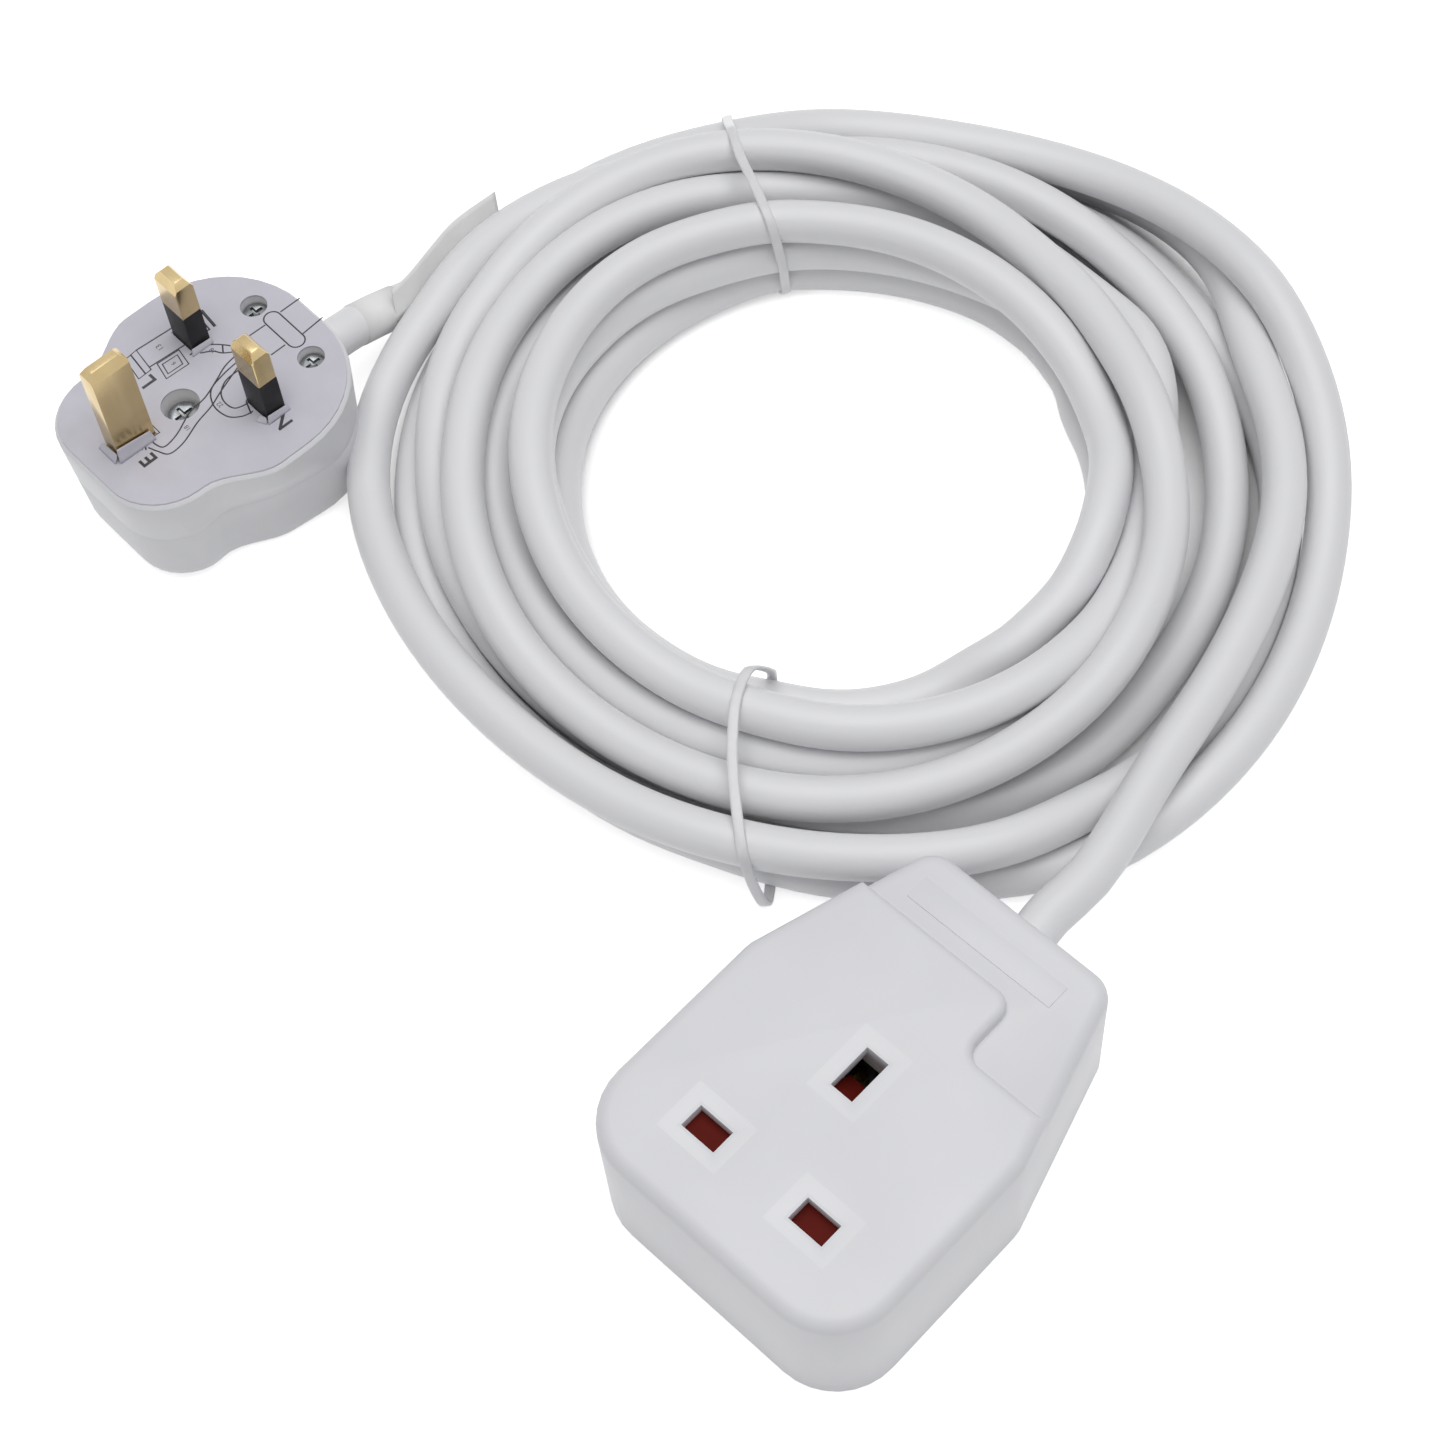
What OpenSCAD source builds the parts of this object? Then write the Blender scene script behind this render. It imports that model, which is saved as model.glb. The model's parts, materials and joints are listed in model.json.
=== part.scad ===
// Extension cord: one-gang trailing socket, coiled three-core flex and a rewireable fused plug.
// Millimetres. The socket's base is centred on the origin, its cable leaves along +Y, +Z is up.

/* [Pins and slots] */
// Width of the live and neutral pins
line_pin_w = 6.35; // [6.2:0.05:6.5]
// Width of the earth pin
earth_pin_w = 7.95; // [7.8:0.05:8.1]
// Thickness of every pin
pin_t = 3.98; // [3.9:0.01:4.05]
// Length of the live and neutral pins beyond the plug face
line_pin_l = 17.7; // [17.2:0.1:18.2]
// Length of the earth pin beyond the plug face
earth_pin_l = 22.73; // [22.2:0.01:23]
// Distance between the live and neutral pins
line_gap = 22.23; // [21.9:0.01:22.6]
// Distance from the earth pin to the live and neutral line
earth_gap = 22.23; // [21.9:0.01:22.6]
// Length of the insulating sleeve on the live and neutral pins
sleeve_l = 9.2; // [8.5:0.1:9.5]
// Thickness of the insulating sleeve
sleeve_t = 0.5; // [0.4:0.05:0.7]
// Room on each side of a pin in its slot
slot_room = 0.2; // [0.15:0.05:0.35]

/* [Socket housing] */
// Length of the socket along the cable
sock_l = 75; // [72:1:84]
// Width of the socket
sock_w = 57; // [55:1:64]
// Height of the socket face above the table
sock_h = 28; // [27:0.5:34]
// Width of the cable end
sock_end_w = 40; // [38:1:46]
// Place along the socket where the sides start to taper
taper_y = 3; // [0:1:8]
// Corner radius of the outlet end
front_r = 12; // [9:1:14]
// Corner radius of the cable end
end_r = 5; // [3:0.5:7]
// Radius where the sides bend into the taper
taper_r = 8; // [5:1:12]
// Rounding of the top edges
edge_r = 2.5; // [1.5:0.25:3]
// Wall thickness of the socket cover
sock_wall = 2.2; // [1.8:0.1:2.8]
// Thickness of the socket's base plate
base_t = 3; // [2.5:0.25:3.5]
// Distance from the outlet end to the live and neutral line
line_inset = 14; // [13.5:0.5:16]
// How far the shelf over the cable lies below the face
shelf_drop = 2.5; // [1.5:0.25:3.5]
// Thickness of the face over the shutter
face_t = 2.8; // [2.4:0.1:3.2]
// Thickness of the shelf over the cable
shelf_t = 2.3; // [2:0.1:3]
// Rounding of the step between face and shelf
step_edge_r = 1.6; // [0.8:0.2:2]
// How far the far side of the step lies before the cable end
step_far = 13.5; // [12:0.5:16]
// How far the near side of the step lies before the cable end
step_near = 25.5; // [23:0.5:28]
// Place across the socket where the step turns
step_x = 9.6; // [6:0.2:12]
// Radius of the step's two bends
step_r = 3.2; // [2.5:0.1:4]

/* [Shutter] */
// Thickness of the shutter plate
shutter_t = 1.7; // [1.4:0.1:1.8]
// Width of the shutter plate
shutter_w = 33; // [32:0.5:34]
// How far the shutter slides to open
shutter_travel = 5.2; // [5:0.1:5.6]
// Running clearance round the shutter
shutter_gap = 0.15; // [0.1:0.01:0.18]
// Thickness of the carrier plate below the shutter
carrier_t = 2; // [1.6:0.1:2.4]
// Outer diameter of the shutter spring
spring_d = 2.8; // [2.4:0.1:3]
// Wire diameter of the shutter spring
spring_wire = 0.35; // [0.3:0.05:0.4]
// Turns of the shutter spring
spring_turns = 7; // [5:1:8]

/* [Contacts] */
// Thickness of the contact strip
strip_t = 0.8; // [0.6:0.1:1]
// How much narrower than a pin a contact's gap is
contact_bite = 0.5; // [0.3:0.1:0.8]
// Height of the live and neutral contacts' feet
line_foot_z = 6.5; // [6:0.25:7.5]
// Room left between the earth pin's tip and its contact
earth_tip_room = 0.3; // [0.2:0.1:0.6]
// Side of a terminal block
terminal_w = 7; // [6.5:0.25:7.5]
// Height of a terminal block
terminal_h = 8; // [7:0.5:8.5]
// Radius of a terminal screw's thread
terminal_screw_r = 1.45; // [1.3:0.05:1.6]
// Radius of the wire hole in a terminal block
wire_hole_r = 1.5; // [1.4:0.1:1.7]

/* [Screws] */
// Radius of a housing screw
house_screw_r = 1.6; // [1.4:0.1:1.8]
// Radius of a housing screw's head
house_head_r = 3; // [2.7:0.1:3.2]
// Length of a housing screw's thread
house_screw_l = 13; // [11:0.5:14]
// Radius of a clamp screw
clamp_screw_r = 1.45; // [1.3:0.05:1.6]
// Length of a clamp screw's thread
clamp_screw_l = 13; // [11:0.5:14]
// Radius of a clamp screw's head
clamp_head_r = 2.3; // [2.1:0.1:2.5]
// Radius of the plug's cover screw
cover_screw_r = 1.75; // [1.6:0.05:1.9]
// Radius of the plug's cover screw head
cover_head_r = 2.9; // [2.7:0.1:3.1]
// Height of a screw's head
screw_head_h = 2; // [1.6:0.2:2.2]
// Clearance round a screw or a pin in its seat
fit_gap = 0.05; // [0.03:0.01:0.1]

/* [Plug] */
// Width of the plug's cable end
plug_w = 48; // [46:1:52]
// Width of the plug's earth end
plug_nose_w = 36.6; // [34:0.2:38]
// Length of the plug
plug_l = 52; // [51:1:56]
// Height of the plug from its back to its face
plug_h = 25; // [24:0.5:28]
// Distance from the earth end to the earth pin
nose_inset = 10; // [9.5:0.5:11]
// Corner radius of the earth end
nose_r = 12; // [10:0.5:13]
// Corner radius of the cable end
shoulder_r = 20; // [17:0.5:21]
// Depth of the finger grips in the plug's sides
grip_depth = 3.4; // [2:0.2:4]
// Rounding of the plug's back edge
back_r = 4; // [3:0.5:5]
// How much the plug narrows from its face to its back
plug_draft = 1.6; // [0.5:0.1:2]
// Wall thickness of the plug's shells
plug_wall = 2.2; // [1.8:0.1:2.4]
// Thickness of the plug's face
plug_face_t = 3; // [2.6:0.2:3.2]
// Thickness of the plug's back
plug_back_t = 2.5; // [2.2:0.1:3]
// Depth of the recess round a visible screw
screw_recess = 2.4; // [2:0.2:2.6]
// Thickness of the wiring card
card_t = 0.4; // [0.3:0.1:0.6]
// How far the card's edge lies inside the plug's edge
card_inset = 0.7; // [0.5:0.1:1.5]
// Length of the fuse
fuse_l = 25.4; // [25.2:0.1:25.6]
// Diameter of the fuse's caps
fuse_d = 6.34; // [6.2:0.02:6.5]
// Length of a fuse cap
fuse_cap_l = 5.5; // [5:0.1:6]

/* [Flex] */
// Diameter of the flex
cord_d = 8; // [7.6:0.1:8.2]
// Diameter of one insulated core
core_d = 2.6; // [2.4:0.1:2.7]
// Room round the flex where it enters a housing
gland_room = 0.3; // [0.2:0.05:0.5]
// Radius of the coil's inner edge
coil_in_r = 44; // [44:1:47]
// Radius of the coil's outer edge
coil_out_r = 89; // [86:1:89]
// Height of the coil's outer turns
coil_h = 16; // [15:0.5:16]
// Width of a cable tie
tie_w = 2.2; // [1.8:0.2:3]
// Thickness of a cable tie
tie_t = 1; // [0.8:0.1:1.4]

/* [Hidden] */
$fn = 48;

// Sides of a hull's own children
hull_fn = 32;
// Overshoot of a cut past the face it opens
cut = 1;
big = 60;

// ---- Socket: derived places ----
line_y = -sock_l / 2 + line_inset;
earth_y = line_y + earth_gap;
line_x = line_gap / 2;
shelf_z = sock_h - shelf_drop;
ceiling_z = shelf_z - shelf_t;
pocket_z = sock_h - face_t;
carrier_z = ceiling_z - carrier_t;
shutter_z = ceiling_z + shutter_gap;
cord_z = sock_h / 2;
cover_foot = 0.3;
line_slot = [line_pin_w + 2 * slot_room, pin_t + 2 * slot_room];
earth_slot = [pin_t + 2 * slot_room, earth_pin_w + 2 * slot_room];
// Shallow bevel that leads a pin into its slot
bevel_rim = 2.7;
bevel_depth = 0.7;

corner_posts = [
    for (s = [-1, 1]) [s * (sock_w / 2 - front_r), -sock_l / 2 + front_r, front_r],
    for (s = [-1, 1]) [s * (sock_w / 2 - taper_r), taper_y, taper_r],
    for (s = [-1, 1]) [s * (sock_end_w / 2 - end_r), sock_l / 2 - end_r, end_r]];

// Housing screw pillars, two at the outlet end and two beside the cable
pillar_r = 3.3;
pillars = [
    for (s = [-1, 1]) [s * (sock_w / 2 - 7.5), -sock_l / 2 + 9],
    for (s = [-1, 1]) [s * (sock_end_w / 2 - 2.5), sock_l / 2 - 17.5]];

// Cord clamp inside the cable end
clamp_y = sock_l / 2 - 9.5;
clamp_x = 10.5;
clamp_w = 28;
clamp_d = 7;
clamp_t = 3;
clamp_room = 0.1;
clamp_top_z = cord_z - cord_d / 2 - clamp_room;
// The sheath is cut back just inside the clamp
sheath_end_y = clamp_y - clamp_d / 2 - 1.5;

// Shutter plate: windows lie one travel behind the slots at rest
window = [line_slot[0] + 0.7, line_slot[1] + 0.5];
window_y = line_y + shutter_travel;
shutter_front_y = line_y - 5.5;
shutter_bar_y = window_y + window[1] / 2 + 2;
stem_w = 8;
ramp_w = 6;
ramp_toe_y = earth_y - earth_pin_w / 2 + shutter_travel - 0.2;
ramp_top_y = ramp_toe_y - 4.4;
ramp_toe_z = carrier_z - 1;
carrier_screw_x = sock_w / 2 - 9.5;
carrier_neck_w = 2 * stem_w;
cell_room = 1.7;
carrier_screw_y = line_y + 16.5;
post_y = line_y - 1.3;
post_r = 1;
spring_front_y = post_y + post_r;
spring_rear_y = shutter_bar_y - 1.8;
spring_z = pocket_z - 0.2 - spring_d / 2;
spring_slot_w = spring_d + 0.8;

// Contacts
clip_gap = pin_t - contact_bite;
clip_top_z = ramp_toe_z - 0.6;
line_clip_w = 6;
earth_clip_w = earth_pin_w;
earth_foot_z = sock_h - earth_pin_l - earth_tip_room - strip_t;
line_term_y = line_y + 10.5;
earth_term_y = earth_y + 10.8;
line_wire_z = line_foot_z + strip_t + terminal_h / 2;
earth_block_z = line_foot_z;
earth_wire_z = earth_block_z + terminal_h / 2;
core_over_z = earth_block_z + terminal_h + core_d / 2 + 0.4;

// ---- Plug: derived places, in the plug's own frame: earth pin at its origin, cable along +Y ----
plug_at = [-180.2, 3.4, 0];
plug_turn = -3.3;
split_z = plug_h - 10.5;
plug_floor_z = plug_h - plug_face_t;
plug_x = plug_w / 2;
nose_x = plug_nose_w / 2;
plug_end_y = plug_l - nose_inset;
waist_from = nose_r - nose_inset + 1;
waist_to = plug_end_y - shoulder_r - 6;
grip_mid_y = 14;
grip_reach = 16;
grip_top_z = plug_h - 5;
face_edge = 0.6;
cover_screw_y = earth_gap / 2;
grip_screw_x = 8.5;
grip_screw_y = plug_end_y - 7.3;
grip_bar = [21.2, 5, 3];
grip_bar_z = split_z - cord_d / 2 - clamp_room - grip_bar[2];
plug_sheath_y = plug_end_y - 14;
pin_head_z = split_z + 0.1;
pin_tip_h = 2;
pin_tip_side = 1.2;
fuse_x = line_x - 1.6;
fuse_z = pin_head_z - 0.7 - 0.1 - fuse_d / 2;
fuse_y = earth_gap - 11;
fuse_body_r = fuse_d / 2 - 0.3;
clip_room = 0.08;
clip_t = 0.7;
cap_mid = fuse_l / 2 - fuse_cap_l / 2;
fuse_screw_r = 1.2;

// ---- Flex: the socket lead and the plug lead, the coil between them ----
coil_at = [-88, 95.5];
// Wound turns: radius and height of their outer side, the inner ones stacked higher
coil_rise = 2.5;
coil_side = [[0, 0], [coil_out_r - 4, 0], [coil_out_r - 1, 1.5], [coil_out_r, 4.5], [coil_out_r, 7.5],
    [coil_out_r - 2.5, 11], [coil_out_r - 6, coil_h - 2], [coil_out_r - 12, coil_h],
    [coil_out_r - 24, coil_h + coil_rise], [0, coil_h + coil_rise]];
// Their hole: place off the coil's centre, radius and height
coil_hole_at = [-2.8, -4.4];
coil_hole = [[0, -cut], [coil_in_r + 1.5, -cut], [coil_in_r + 1.5, 8], [coil_in_r + 2.5, 11], [coil_in_r + 4.5, 14.5],
    [coil_in_r + 8.5, coil_h + coil_rise], [coil_in_r + 9.5, coil_h + coil_rise + cut], [0, coil_h + coil_rise + cut]];
// Each tie's inner and outer end on the ground, and its loop: place from the inner end, height
ties = [[[-73.5, 52], [-39.5, 14.6]], [[-126.5, 116], [-169, 138.6]]];
function tie_span(t) = norm(t[1] - t[0]);
tie_loop_front = [[2.5, 0.5], [25, 0.5], [tie_span(ties[0]) - 3, 0.5], [tie_span(ties[0]) - 0.8, 1.4],
    [tie_span(ties[0]) - 0.2, 3.6], [tie_span(ties[0]) - 0.8, 7], [46.5, 10.6], [43.5, 13.8], [40, 15.9], [35.5, 17.5],
    [31, 18.7], [26, 20.1], [21, 21.5], [15, 22.4], [11, 22], [7.2, 19.2], [3.8, 14.6], [1.2, 9.5], [0.1, 5], [0.6, 1.8]];
tie_loop_rear = [[1.5, 0.5], [24, 0.5], [tie_span(ties[1]) - 4, 0.5], [tie_span(ties[1]) - 1, 1.5],
    [tie_span(ties[1]) - 0.2, 3.8], [tie_span(ties[1]) - 0.8, 7.4], [44.6, 10.5], [41, 15.2], [36.5, 20.2],
    [32.5, 23.4], [28, 24.5], [20, 24.6], [10, 24.7], [5.6, 23.6], [2.8, 20], [1.2, 14], [0.3, 8], [0.2, 4], [0.4, 1.7]];
exit_y = sock_l / 2;
socket_route = [[0, sheath_end_y, cord_z], [0, (sheath_end_y + exit_y) / 2, cord_z], [0, exit_y, cord_z],
    [0, exit_y + 9, cord_z], [-0.5, exit_y + 18, cord_z - 0.4], [-1.5, exit_y + 27, cord_z - 1],
    [-3, exit_y + 36, cord_z - 2]];
plug_route = [[-178.6, 31.4, split_z], [-178.2, 38, split_z], [-177.8, 45.3, split_z],
    [-177.3, 53, 14], [-176.5, 61, 12.5], [-175, 69, 10.5], [-173, 77, 9]];

// ---- Functions ----
function arc(c, r, a, b, n) = [for (i = [0:n]) c + r * [cos(a + (b - a) * i / n), sin(a + (b - a) * i / n)]];
function smooth(t) = let (u = min(1, max(0, t))) u * u * (3 - 2 * u);
function unit(v) = v / norm(v);

// Outline of the raised face, open far beyond the housing except along the step
function step_outline(inset) = let (
    far = sock_l / 2 - step_far - inset, near = sock_l / 2 - step_near - inset,
    x = step_x - inset, out = step_r - inset, in = step_r + inset) concat(
    [[-big, -big], [big, -big], [big, near]],
    arc([x + in, near + in], in, 270, 180, 6),
    arc([x - out, far - out], out, 0, 90, 6),
    [[-big, far]]);

// Half width of the plug between its two rounded ends
function plug_half(y) = nose_x + (plug_x - nose_x) * smooth((y - waist_from) / (waist_to - waist_from));
// Depth of the finger grip at a height and a place along the plug
function grip_at(y, z) = let (t = (grip_top_z - z) / (grip_top_z + 2), s = (y - grip_mid_y) / grip_reach)
    (t <= 0 || abs(s) >= 1) ? 0 : grip_depth * sin(180 * t) * pow(cos(90 * s), 2);
// Draft and back rounding at a height
function plug_inset(z) = plug_draft * (plug_h - z) / plug_h
    + (z < back_r ? back_r - sqrt(max(0, back_r * back_r - pow(back_r - z, 2))) : 0)
    + (z > plug_h - face_edge ? z - plug_h + face_edge : 0);
// Right half of the plug's outline at a height, drawn in by a wall
function plug_side(z, wall) = let (d = plug_inset(z) + wall, n = 8,
    a = arc([nose_x - nose_r, nose_r - nose_inset], nose_r - d, -90, 0, n),
    b = arc([plug_x - shoulder_r, plug_end_y - shoulder_r], shoulder_r - d, 0, 90, n + 2),
    y0 = waist_from, y1 = waist_to) concat(
    [for (p = a) p - [grip_at(p[1], z), 0]],
    [for (i = [0:n]) let (y = y0 + (y1 - y0) * i / n) [plug_half(y) - d - grip_at(y, z), y]],
    [for (p = b) p - [grip_at(p[1], z), 0]]);
function plug_outline(z, wall) = let (s = plug_side(z, wall), n = len(s)) concat(
    s, [for (i = [n - 1:-1:0]) [-s[i][0], s[i][1]]]);
// Faces of a solid through m rings of n points; each end is closed by strips across it
function rings_faces(n, m) = concat(
    [for (i = [0:n / 2 - 2]) [i, i + 1, n - 2 - i, n - 1 - i]],
    [for (i = [0:n / 2 - 2]) let (e = (m - 1) * n) [e + n - 1 - i, e + n - 2 - i, e + i + 1, e + i]],
    [for (k = [0:m - 2]) for (i = [0:n - 1]) let (j = (i + 1) % n) [k * n + n + j, k * n + j, k * n + i]],
    [for (k = [0:m - 2]) for (i = [0:n - 1]) let (j = (i + 1) % n) [k * n + n + i, k * n + n + j, k * n + i]]);

// Ring of a swept tube about a route point, square to the route; ref is a direction the route never takes
function route_dir(p, i) = unit(p[min(i + 1, len(p) - 1)] - p[max(i - 1, 0)]);
function ring_at(c, t, r, sides, ref) = let (side = unit(cross(t, ref)),
    up = cross(t, side)) [for (k = [0:sides - 1]) let (a = 360 * k / sides) c + r * (cos(a) * side + sin(a) * up)];

// ---- Shared modules ----
module swept(route, r, sides, ref = [0, 0, 1]) {
    rings = [for (i = [0:len(route) - 1]) ring_at(route[i], route_dir(route, i), r, sides, ref)];
    polyhedron([for (g = rings) for (p = g) p], rings_faces(sides, len(route)), convexity = 8);
}

// Posts at the housing's corners, drawn in by a wall, with a rounded top edge, in one hull
module housing_form(inset, z0, z1, edge) {
    hull() for (p = corner_posts) translate([p[0], p[1], 0])
        rotate_extrude($fn = hull_fn) polygon(concat(
            [[0, z0], [p[2] - inset, z0]],
            edge > 0 ? arc([p[2] - inset - edge, z1 - edge], edge, 0, 90, 5) : [[p[2] - inset, z1]],
            [[0, z1]]));
}

module block(size, at) {
    translate(at) translate([-size[0] / 2, -size[1] / 2, 0]) cube(size);
}

// Headed screw pointing along +Z from the underside of its head
module screw_up(r, l, head_r) {
    cylinder(r = r, h = l);
    translate([0, 0, -screw_head_h]) difference() {
        cylinder(r = head_r, h = screw_head_h);
        block([head_r * 1.3, 0.6, 0.8 + cut], [0, 0, -cut]);
        block([0.6, head_r * 1.3, 0.8 + cut], [0, 0, -cut]);
    }
}

module along_y(at, r, l) {
    translate(at) rotate([-90, 0, 0]) cylinder(r = r, h = l);
}

module along_x(at, r, l) {
    translate(at) rotate([0, 90, 0]) cylinder(r = r, h = l);
}

module at_lines() {
    for (s = [-1, 1]) translate([s * line_x, line_y, 0]) children();
}

// ---- Socket ----
module bevel_profile(w) {
    slope = (bevel_rim - 0.5) / bevel_depth;
    polygon([[-w / 2 - 0.5, sock_h - bevel_depth], [w / 2 + 0.5, sock_h - bevel_depth],
        [w / 2 + bevel_rim + slope * cut, sock_h + cut], [-w / 2 - bevel_rim - slope * cut, sock_h + cut]]);
}

module slot_cut(size) {
    block([size[0], size[1], face_t + bevel_depth + 2 * cut], [0, 0, pocket_z - cut]);
    intersection() {
        rotate([90, 0, 0]) translate([0, 0, -big / 2]) linear_extrude(height = big) bevel_profile(size[0]);
        rotate([90, 0, 90]) translate([0, 0, -big / 2]) linear_extrude(height = big) bevel_profile(size[1]);
    }
}

module shutter_pocket() {
    g = shutter_gap;
    front = shutter_front_y - shutter_travel - g;
    translate([-shutter_w / 2 - g, front, ceiling_z - cut])
        cube([shutter_w + 2 * g, shutter_bar_y + g - front, pocket_z - ceiling_z + cut]);
    translate([-stem_w / 2 - g, front, ceiling_z - cut])
        cube([stem_w + 2 * g, earth_y + earth_slot[1] / 2 - front, pocket_z - ceiling_z + cut]);
}

module socket_cover() {
    color("white") difference() {
        union() {
            difference() {
                union() {
                    housing_form(0, cover_foot, shelf_z, edge_r);
                    intersection() {
                        housing_form(0, cover_foot, sock_h, edge_r);
                        minkowski() {
                            linear_extrude(height = sock_h - step_edge_r) polygon(step_outline(step_edge_r));
                            rotate_extrude($fn = 16) polygon(concat([[0, 0]], arc([0, 0], step_edge_r, 0, 90, 5)));
                        }
                    }
                }
                housing_form(sock_wall, -cut, ceiling_z, 0);
            }
            for (p = pillars) translate([p[0], p[1], base_t + fit_gap])
                cylinder(r = pillar_r, h = ceiling_z - base_t);
            for (s = [-1, 1]) translate([s * clamp_x, clamp_y, clamp_top_z + 0.3])
                cylinder(r = pillar_r, h = ceiling_z - clamp_top_z);
            block([11, clamp_d, ceiling_z - cord_z - cord_d / 2 - clamp_room + cut],
                [0, clamp_y, cord_z + cord_d / 2 + clamp_room]);
        }
        at_lines() slot_cut(line_slot);
        translate([0, earth_y, 0]) slot_cut(earth_slot);
        shutter_pocket();
        for (p = pillars) translate([p[0], p[1], 0]) cylinder(r = house_screw_r + fit_gap, h = ceiling_z - 6);
        for (s = [-1, 1]) translate([s * clamp_x, clamp_y, 0])
            cylinder(r = clamp_screw_r + fit_gap, h = ceiling_z - 2);
        for (s = [-1, 1]) translate([s * carrier_screw_x, carrier_screw_y, 0])
            cylinder(r = clamp_screw_r + fit_gap, h = ceiling_z + 3.2);
        along_y([0, sock_l / 2 - sock_wall - cut, cord_z], cord_d / 2 + gland_room, sock_wall + 2 * cut);
    }
}

module socket_base_plate() {
    color("white") difference() {
        union() {
            housing_form(sock_wall + 0.15, 0, base_t, 0);
            at_lines() block([5, pin_t, line_foot_z - base_t], [0, 0, base_t]);
            block([pin_t, 6, earth_foot_z - base_t], [0, earth_y, base_t]);
        }
        for (p = pillars) translate([p[0], p[1], -cut]) {
            cylinder(r = house_screw_r + 0.3, h = base_t + 2 * cut);
            cylinder(r = house_head_r + 0.3, h = cut + 1.4);
        }
        block([clip_gap + 2 * strip_t + 0.2, earth_clip_w + 0.2, big], [0, earth_y, earth_foot_z]);
    }
}

module socket_housing_screws() {
    color("silver") for (p = pillars) translate([p[0], p[1], 1.4]) {
        cylinder(r = house_screw_r, h = house_screw_l);
        translate([0, 0, -1.2]) difference() {
            cylinder(r = house_head_r, h = 1.2);
            block([house_head_r * 1.3, 0.6, 0.6 + cut], [0, 0, -cut]);
            block([0.6, house_head_r * 1.3, 0.6 + cut], [0, 0, -cut]);
        }
    }
}

module shutter() {
    color("darkred") union() {
        translate([0, 0, shutter_z]) linear_extrude(height = shutter_t) difference() {
            union() {
                translate([-shutter_w / 2, shutter_front_y])
                    square([shutter_w, shutter_bar_y - shutter_front_y]);
                translate([-stem_w / 2, shutter_front_y]) square([stem_w, ramp_top_y - shutter_front_y]);
            }
            for (s = [-1, 1]) translate([s * line_x, window_y]) square(window, center = true);
            translate([-spring_slot_w / 2, post_y - post_r - 1])
                square([spring_slot_w, spring_rear_y - post_y + post_r + 1]);
        }
        translate([-ramp_w / 2, 0, 0]) rotate([90, 0, 90]) linear_extrude(height = ramp_w) polygon([
            [ramp_top_y - 3.5, shutter_z], [ramp_top_y - 2, ramp_toe_z], [ramp_toe_y, ramp_toe_z],
            [ramp_toe_y, ramp_toe_z + 0.6], [ramp_top_y, shutter_z + shutter_t], [ramp_top_y - 3.5, shutter_z + shutter_t]]);
    }
}

module shutter_spring() {
    steps = spring_turns * 12;
    r = (spring_d - spring_wire) / 2;
    y0 = spring_front_y + spring_wire / 2;
    y1 = spring_rear_y - spring_wire / 2;
    color("silver") swept([for (i = [0:steps]) let (a = 30 * i)
        [r * cos(a), y0 + (y1 - y0) * i / steps, spring_z + r * sin(a)]], spring_wire / 2, 6, [0, 1, 0]);
}

module shutter_carrier() {
    front = shutter_front_y - shutter_travel - 0.3;
    rear = earth_y + earth_slot[1] / 2 + 2;
    cell = [line_clip_w + 2, clip_gap + 2 * (strip_t + cell_room)];
    color("gainsboro") difference() {
        union() {
            translate([-shutter_w / 2 - 1, front, carrier_z]) cube([shutter_w + 2, shutter_bar_y - front, carrier_t]);
            translate([-carrier_neck_w / 2, front, carrier_z]) cube([carrier_neck_w, rear - front, carrier_t]);
            for (s = [-1, 1]) translate([0, carrier_screw_y - 4, carrier_z])
                translate([s > 0 ? 0 : -carrier_screw_x - 3, 0, 0]) cube([carrier_screw_x + 3, 8, carrier_t]);
            at_lines() block([cell[0] + 2, cell[1] + 2, 5], [0, 0, carrier_z - 5]);
            translate([0, post_y, carrier_z]) cylinder(r = post_r, h = pocket_z - carrier_z - 0.2);
        }
        at_lines() {
            block([cell[0], cell[1], 6], [0, 0, carrier_z - 6]);
            block([window[0], window[1], carrier_t + 2 * cut], [0, 0, carrier_z - cut]);
        }
        translate([-ramp_w / 2 - 0.4, ramp_top_y - 4 - shutter_travel, carrier_z - cut])
            cube([ramp_w + 0.8, rear - 2 + 4 + shutter_travel - ramp_top_y, carrier_t + 2 * cut]);
        translate([-spring_slot_w / 2, post_y + post_r + 0.1, carrier_z - cut])
            cube([spring_slot_w, spring_rear_y - post_y - post_r, carrier_t + 2 * cut]);
        for (s = [-1, 1]) translate([s * carrier_screw_x, carrier_screw_y, carrier_z - cut])
            cylinder(r = clamp_screw_r + 0.2, h = carrier_t + 2 * cut);
        for (p = pillars) translate([p[0], p[1], carrier_z - cut])
            cylinder(r = pillar_r + 0.2, h = carrier_t + 2 * cut);
    }
}

module carrier_screws() {
    color("silver") for (s = [-1, 1]) translate([s * carrier_screw_x, carrier_screw_y, carrier_z])
        screw_up(clamp_screw_r, carrier_t + 3, clamp_head_r);
}

// U-shaped strip that grips a pin between two leaves with flared lips, leaves facing +-X
module pin_clip(foot_z, depth) {
    g = clip_gap / 2;
    h = clip_top_z - foot_z;
    translate([0, depth / 2, foot_z]) rotate([90, 0, 0]) linear_extrude(height = depth) polygon([
        [-g - strip_t, 0], [g + strip_t, 0], [g + strip_t, h - 2.5], [g + strip_t + 1, h - 0.4],
        [g + 1.2, h], [g, h - 2.2], [g, strip_t], [-g, strip_t], [-g, h - 2.2],
        [-g - 1.2, h], [-g - strip_t - 1, h - 0.4], [-g - strip_t, h - 2.5]]);
}

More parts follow.
